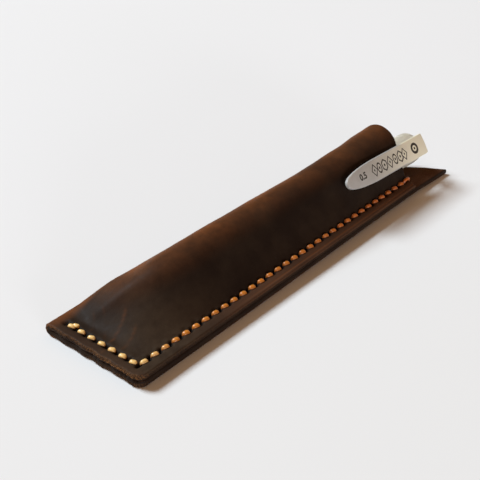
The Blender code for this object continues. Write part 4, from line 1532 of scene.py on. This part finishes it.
@dataclass
class GelPen:
    """The pen in the sleeve: barrel with its plug, grip and nose cone, and the cap with its clip."""

    sleeve: LeatherSleeve
    rear_x: float = 22.0
    axis_z: float = 8.1
    axis_y: float = 11.0
    yaw: float = radians(4.0)
    length: float = 126.0
    barrel_radius: float = 4.7
    barrel_bore: float = 4.1
    barrel_end: float = 90.0
    neck_x: float = 64.0
    cap_radius: float = 5.75
    cap_bore: float = 5.15
    cap_start: float = 69.0
    cap_wall: float = 1.0
    grip_end: float = 88.0
    nose_end: float = 111.0
    fit: float = 0.3
    clip_roll: float = radians(35.0)
    clip_width: float = 7.4
    clip_thickness: float = 1.2
    clip_length: float = 46.0
    clip_underside: float = 8.8
    clip_opening: float = radians(3.0)
    clip_root_back: float = 3.2
    clip_taper_start: float = 0.62
    clip_corner: float = 0.8
    clip_corner_reach: float = 0.9
    clip_edge_bevel: float = 0.32
    root_size: tuple[float, float] = (3.6, 5.4)
    root_centre: float = -2.2
    root_overlap: float = 0.4
    root_bevel: float = 0.5
    # Reach from the clip's root over which its painted backlit glow fades out
    backlit_reach: tuple[float, float] = (11.5, 14.5)
    numeral_x: float = 37.5
    numeral_size: float = 3.0
    figure_places: tuple[float, ...] = (31.0, 28.2, 25.2, 22.0, 18.8, 15.8, 13.2)
    figure_line: float = 0.55
    ring_x: float = 6.8
    print_thickness: float = 0.03
    neck_radius: float = 4.4
    neck_bore: float = 3.6
    grip_bore: float = 4.55
    rib_pitch: float = 1.9
    seat: Matrix = field(init=False)
    clip_seat: Matrix = field(init=False)
    clip_lift: float = field(init=False)
    print_level: float = field(init=False)

    def __post_init__(self) -> None:
        """Works out where the pen frame and the clip's frame are in the row frame."""
        rear_y = self.axis_y + (self.sleeve.mouth_x - self.rear_x) * sin(self.yaw) / cos(self.yaw)
        rear = self.sleeve.place(self.rear_x, rear_y, self.axis_z)
        self.seat = Matrix.Translation(rear) @ Matrix.Rotation(-self.yaw, 4, "Z")
        root = Matrix.Translation(Vector((self.length - self.clip_root_back, 0.0, 0.0)) * MM)
        roll = Matrix.Rotation(0.5 * pi - self.clip_roll, 4, "X")
        lift = Matrix.Translation(Vector((0.0, 0.0, self.cap_radius)) * MM)
        self.clip_seat = self.seat @ root @ roll @ lift @ Matrix.Rotation(self.clip_opening, 4, "Y")
        self.clip_lift = self.clip_underside - self.cap_radius
        self.print_level = self.clip_lift + self.clip_thickness

    def build(self) -> None:
        """Builds and dresses every piece of the pen."""
        tube = FROSTED_TUBE.material()
        self.build_barrel(tube)
        self.build_cap(tube)
        self.build_clip()
        self.build_print()
        self.dress_inside()

    def build_barrel(self, tube: bpy.types.Material) -> None:
        """Models the barrel, the rear plug, the grip and the nose cone.

        Args:
            tube: Material of the frosted pieces.
        """
        neck = self.neck_x
        barrel = turned_shell([
            (4.0, self.barrel_radius - 0.15), (4.15, self.barrel_radius), (neck - 0.3, self.barrel_radius),
            (neck, self.barrel_radius - 0.2), (neck, self.neck_radius), (self.barrel_end, self.neck_radius),
            (self.barrel_end, self.neck_bore), (neck - 2.0, self.neck_bore), (neck - 4.0, self.barrel_bore),
            (4.0, self.barrel_bore),
        ])
        settle(barrel, self.seat)
        finish_piece(barrel, "frosted_barrel", tube, Body.PEN, ["pen_barrel"])
        plug = turned_shell([
            (0.0, 0.0), (0.0, 2.5), (0.15, 2.9), (0.5, 3.4), (1.2, 3.75), (3.5, 4.45), (3.7, 4.4),
            (3.7, self.barrel_bore - self.fit), (9.0, self.barrel_bore - self.fit), (9.0, 0.0),
        ])
        finish_piece(settle(plug, self.seat), "end_plug", BLACK_PLUG.material(), Body.PEN,
                     ["rear_plug"])
        ribs: list[tuple[float, float]] = [(neck + self.fit, 4.7)]
        x = neck + 1.6
        while x + self.rib_pitch < self.grip_end - 1.0:
            ribs += [(x, 4.9), (x + 0.9, 4.9), (x + 1.15, 4.68), (x + 1.6, 4.68)]
            x += self.rib_pitch
        ribs += [
            (self.grip_end - 0.4, 4.88), (self.grip_end, 4.75), (self.grip_end, self.grip_bore),
            (neck + self.fit, self.grip_bore),
        ]
        grip = settle(turned_shell(ribs), self.seat)
        finish_piece(grip, "ribbed_grip", GRIP_RUBBER.material(), Body.PEN, ["grip_sleeve"])
        nose = turned_shell([
            (self.grip_end + self.fit, self.grip_bore), (self.grip_end + self.fit, 4.9), (92.0, 4.72),
            (96.0, 4.4), (100.0, 3.4), (self.nose_end - 7.0, 2.3), (self.nose_end - 4.2, 1.78),
            (self.nose_end - 4.0, 1.7),
            (self.nose_end - 4.0, 1.35), (self.nose_end - 8.0, 1.55), (self.nose_end - 9.0, 2.0),
            (self.barrel_end + 5.5, 3.6), (self.barrel_end + self.fit, 3.7),
            (self.barrel_end + self.fit, self.grip_bore),
        ])
        finish_piece(settle(nose, self.seat), "tapered_nose", tube, Body.PEN, ["nose_cone"])

    def build_cap(self, tube: bpy.types.Material) -> None:
        """Models the cap: a tube with a rolled lip, a thick closed end and rounded corners.

        Args:
            tube: Material of the frosted pieces.
        """
        end = self.length
        start = self.cap_start
        radius = self.cap_radius
        cap = turned_shell([
            (end - 1.6, 0.0), (end - 1.6, self.cap_bore - self.cap_wall),
            (self.nose_end - 16.0, self.cap_bore - 0.3), (start, self.cap_bore), (start, radius - 0.3),
            (start + 0.2, radius - 0.05), (start + 0.6, radius), (end - 2.0, radius - 0.05),
            (end - 1.0, radius - 0.15), (end - 0.45, radius - 0.4), (end - 0.12, radius - 0.8),
            (end, radius - 1.3), (end, 0.0),
        ])
        finish_piece(settle(cap, self.seat), "frosted_cap", tube, Body.CAP, ["pen_cap"])

    def clip_half_width(self, reach: float) -> float:
        """Rounds the clip's sides in towards its tip.

        Args:
            reach: Distance from the clip's root.

        Returns:
            Half the clip's width there.
        """
        half = 0.5 * self.clip_width
        start = self.clip_taper_start * self.clip_length
        if reach < start:
            return half
        share = (reach - start) / (self.clip_length - start)
        return half * sqrt(max(1.0 - share ** 2, 0.0)) ** 0.75

    def clip_outline(self, angle: float) -> tuple[float, float]:
        """Shapes the clip's outline from a circle: rounded corners at the root, and a pointed tip.

        Args:
            angle: Place on the circle, 0 at the root's middle.

        Returns:
            The distance from the root, and the half width.
        """
        share = 0.5 - 0.5 * cos(angle)
        if share < 1e-6:
            return 0.0, 0.0
        reach = self.clip_length * share ** 0.8
        corner = min(reach / self.clip_corner_reach, 1.0)
        width = self.clip_half_width(reach) - self.clip_corner * (1.0 - sqrt(1.0 - (1.0 - corner) ** 2))
        return reach, min(width, 0.5 * self.clip_width)

    def build_clip(self) -> None:
        """Models the clip: a flat plate with rounded edges and a pointed tip, on a solid root."""
        start_piece()
        bpy.ops.mesh.primitive_circle_add(vertices=96, radius=1.0, fill_type="NGON")
        clip = bpy.context.object
        shaped = []
        for x, y, _ in get_places(clip):
            reach, width = self.clip_outline(atan2(y, x))
            shaped.append((-reach, width if y > 0.0 else -width, self.clip_lift))
        set_places(clip, np.array(shaped) * MM)
        bpy.ops.object.mode_set(mode="EDIT")
        bpy.ops.mesh.select_all(action="SELECT")
        upward = (0.0, 0.0, self.clip_thickness * MM)
        bpy.ops.mesh.extrude_region_move(TRANSFORM_OT_translate={"value": upward})
        bpy.ops.mesh.select_all(action="SELECT")
        bpy.ops.mesh.normals_make_consistent(inside=False)
        bpy.ops.object.mode_set(mode="OBJECT")
        rounding = {"segments": 3, "limit_method": "ANGLE", "angle_limit": radians(40.0)}
        apply_modifier(clip, "BEVEL", width=self.clip_edge_bevel * MM, **rounding)

        height = self.clip_lift - self.fit + self.root_overlap
        centre = Vector((self.root_centre, 0.0, self.fit + 0.5 * height))
        root = add_block(centre * MM, Vector((*self.root_size, height)) * MM)
        apply_modifier(root, "BEVEL", width=self.root_bevel * MM, **rounding)
        apply_modifier(clip, "BOOLEAN", operation="UNION", solver="EXACT", object=root)
        bpy.data.objects.remove(root)
        reach = -get_places(clip)[:, 0] / MM
        # Painted backlight glow on the clip past the sleeve's mouth
        set_mask(clip, "thick", 1.0 - ease(reach, *self.backlit_reach))
        settle(clip, self.clip_seat, radians(30.0))
        finish_piece(clip, "frosted_clip", FROSTED_CLIP.material(), Body.CLIP, ["cap_clip"])

    def ring_mark(self, x: float, outer: float, inner: float, corners: int, stretch: float,
                  turn: float = 0.0) -> bpy.types.Object:
        """Makes one outlined figure of the clip's print.

        Args:
            x: Place along the clip, from its root.
            outer: Outer radius.
            inner: Inner radius, or 0 for a filled figure.
            corners: Number of corners.
            stretch: Width along the clip as a share of its height.
            turn: Turn of the figure's first corner.

        Returns:
            The figure, flat in the clip's frame.
        """
        start_piece()
        bpy.ops.mesh.primitive_circle_add(
            vertices=corners, radius=outer * MM, fill_type="NGON", rotation=(0.0, 0.0, turn),
        )
        item = bpy.context.object
        bpy.ops.object.mode_set(mode="EDIT")
        bpy.ops.mesh.select_all(action="SELECT")
        if inner > 0.0:
            bpy.ops.mesh.inset(thickness=(outer - inner) * MM * cos(pi / corners), depth=0.0)
            bpy.ops.mesh.delete(type="FACE")
        bpy.ops.object.mode_set(mode="OBJECT")
        apply_place()
        item.scale = (stretch, 1.0, 1.0)
        item.location = Vector((-x, 0.0, self.print_level)) * MM
        apply_place()
        return item

    def size_numerals(self) -> bpy.types.Object:
        """Makes the line width numerals near the clip's tip.

        Returns:
            The numerals, flat in the clip's frame.
        """
        start_piece()
        bpy.ops.object.text_add()
        words = bpy.context.object.data
        words.body = "0.5"
        words.size = self.numeral_size * MM
        words.offset = 0.03 * self.numeral_size * MM
        words.align_x = "CENTER"
        words.align_y = "CENTER"
        bpy.ops.object.convert(target="MESH")
        item = bpy.context.object
        item.location = Vector((-self.numeral_x, 0.0, self.print_level)) * MM
        apply_place()
        return item

    def build_print(self) -> None:
        """Lays out the clip's print: numerals, a strip of outlined figures, and a ring with a dot."""
        figures = [self.size_numerals()]
        # A diamond, an oval and a hexagon in turn, each with its dot: corners, radius and stretch
        outlines = ((4, 2.3, 0.72), (24, 1.9, 0.62), (6, 2.2, 0.75))
        for number, x in enumerate(self.figure_places):
            corners, outer, stretch = outlines[number % len(outlines)]
            figures.append(self.ring_mark(x, outer, outer - self.figure_line, corners, stretch))
            figures.append(self.ring_mark(x, 0.5, 0.0, corners, stretch))
        figures.append(self.ring_mark(self.ring_x, 2.0, 1.1, 32, 1.0))
        figures.append(self.ring_mark(self.ring_x, 0.55, 0.0, 4, 1.0, 0.25 * pi))
        item = join(figures)
        apply_modifier(item, "SOLIDIFY", thickness=self.print_thickness * MM, offset=0.6)
        settle(item, self.clip_seat)
        finish_piece(item, "clip_print", PRINT_INK.material(), Body.CLIP)

    def dress_inside(self) -> None:
        """Gives the pieces inside the pen, which keep their CAD shape, their materials."""
        finishes = {
            "cap_seal": SEAL_RUBBER, "refill_tube": REFILL_TUBE, "ink_column": GEL_INK,
            "ink_follower": GREASE, "tip_socket": SOCKET, "metal_tip": NICKEL, "tip_ball": CARBIDE,
        }
        for name, finish in finishes.items():
            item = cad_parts[name]
            if not item.material_slots:
                item.data.materials.append(None)
            item.material_slots[0].material = finish.material()
            LOG.info("%-18s keeps its shape, dressed as %s", name, finish.name)


# ---------------------------------------------------------------- studio


@dataclass
class Studio:
    """Pale floor, a broad soft key light from the fold side, and the camera."""

    sleeve: LeatherSleeve
    azimuth: float = radians(-49.84)
    elevation: float = radians(31.85)
    distance: float = 0.2954
    aim: tuple[float, float, float] = (64.05, 19.76, 4.0)
    lens: float = 70.5
    key_power: float = 495.0
    key_distance: float = 6.0
    key_size: tuple[float, float] = (2.2, 1.7)
    key_azimuth: float = radians(14.0)
    key_elevation: float = radians(43.0)
    fill_power: float = 34.0
    fill_distance: float = 2.8
    fill_size: tuple[float, float] = (1.2, 0.4)
    fill_azimuth: float = radians(155.0)
    fill_elevation: float = radians(5.5)
    ambient: float = 0.24
    key_colour: str = "#e7f5fe"
    fill_colour: str = "#f6f8ff"
    room_colour: str = "#ffc07c"
    floor_size: float = 8.0
    floor_tints: tuple[str, str] = ("#ededee", "#ebebeb")
    floor_cloud_size: float = 400.0
    sensor: float = 36.0
    near_clip: float = 0.01

    def build(self) -> None:
        """Makes the floor, the lights and the camera."""
        self.add_floor()
        self.add_world()
        self.add_light("key_light", self.key_azimuth, self.key_elevation, self.key_distance,
                       self.key_size, self.key_power, self.key_colour)
        self.add_light("fill_light", self.fill_azimuth, self.fill_elevation, self.fill_distance,
                       self.fill_size, self.fill_power, self.fill_colour)
        self.add_camera()

    def add_floor(self) -> None:
        """Adds a plain pale floor."""
        start_piece()
        bpy.ops.mesh.primitive_plane_add(size=self.floor_size)
        floor = bpy.context.object
        floor.name = "pale_floor"
        material, tree, shader = start_material("matt_white_board", {
            "Roughness": 0.9, "Specular IOR Level": 0.1,
        })
        place = add_node(tree, Kind.COORDINATES).outputs["Object"]
        cloud = add_node(tree, Kind.NOISE, None, {
            "Vector": place, "Scale": 1.0 / (self.floor_cloud_size * MM), "Detail": 1.0,
            "Roughness": LAYER_STRENGTH,
        }).outputs[0]
        share = add_node(tree, Kind.RANGE, SMOOTH, {
            "Value": cloud, "From Min": 0.3, "From Max": 0.7, "To Min": 0.0, "To Max": 1.0,
        }).outputs[0]
        tints = [linear(code) for code in self.floor_tints]
        colour = add_node(tree, Kind.MIX, COLOURS, {
            SHARE: share, FIRST: tints[0], SECOND: tints[1],
        }).outputs[MIXED]
        tree.links.new(colour, shader.inputs["Base Color"])
        floor.data.materials.append(material)

    def add_world(self) -> None:
        """Adds the weak warm light of the room."""
        world = bpy.data.worlds.new("room")
        world.use_nodes = True
        background = world.node_tree.nodes["Background"]
        background.inputs["Color"].default_value = linear(self.room_colour)
        background.inputs["Strength"].default_value = self.ambient
        bpy.context.scene.world = world

    def add_light(self, name: str, azimuth: float, elevation: float, distance: float,
                  size: tuple[float, float], power: float, colour: str) -> None:
        """Adds an area light that faces the object.

        Args:
            name: Light's name.
            azimuth: Turn of the light's side from +Y towards -X.
            elevation: Angle above the table.
            distance: Distance from the object's middle, in metres.
            size: Width and height.
            power: Power in watts.
            colour: Its colour.
        """
        lamp = bpy.data.lights.new(name, "AREA")
        lamp.shape = "RECTANGLE"
        lamp.size, lamp.size_y = size
        lamp.energy = power
        lamp.color = linear(colour)[:3]
        item = bpy.data.objects.new(name, lamp)
        bpy.context.scene.collection.objects.link(item)
        away = Vector((-sin(azimuth) * cos(elevation), cos(azimuth) * cos(elevation), sin(elevation)))
        item.location = away * distance
        item.rotation_mode = "QUATERNION"
        item.rotation_quaternion = (-away).to_track_quat("-Z", "Y")

    def add_camera(self) -> None:
        """Adds the camera, on the long seam's side and above the foot."""
        data = bpy.data.cameras.new("camera")
        data.lens = self.lens
        data.sensor_width = self.sensor
        data.clip_start = self.near_clip
        item = bpy.data.objects.new("camera", data)
        bpy.context.scene.collection.objects.link(item)
        level = cos(self.elevation)
        forward = Vector((-sin(self.azimuth) * level, cos(self.azimuth) * level, -sin(self.elevation)))
        item.location = self.sleeve.place(*self.aim) - forward * self.distance
        item.rotation_mode = "QUATERNION"
        item.rotation_quaternion = forward.to_track_quat("-Z", "Y")
        bpy.context.scene.camera = item
        bpy.context.scene.view_settings.view_transform = "Standard"


def main() -> None:
    """Builds the sleeve, its stitching, the pen and the studio."""
    logging.basicConfig(level=logging.INFO, format="%(name)s: %(message)s")
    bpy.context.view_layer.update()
    sleeve = LeatherSleeve()
    sleeve.build()
    SeamStitching(sleeve).build()
    GelPen(sleeve).build()
    Studio(sleeve).build()
    bpy.context.view_layer.update()


if __name__ == "__main__":
    main()
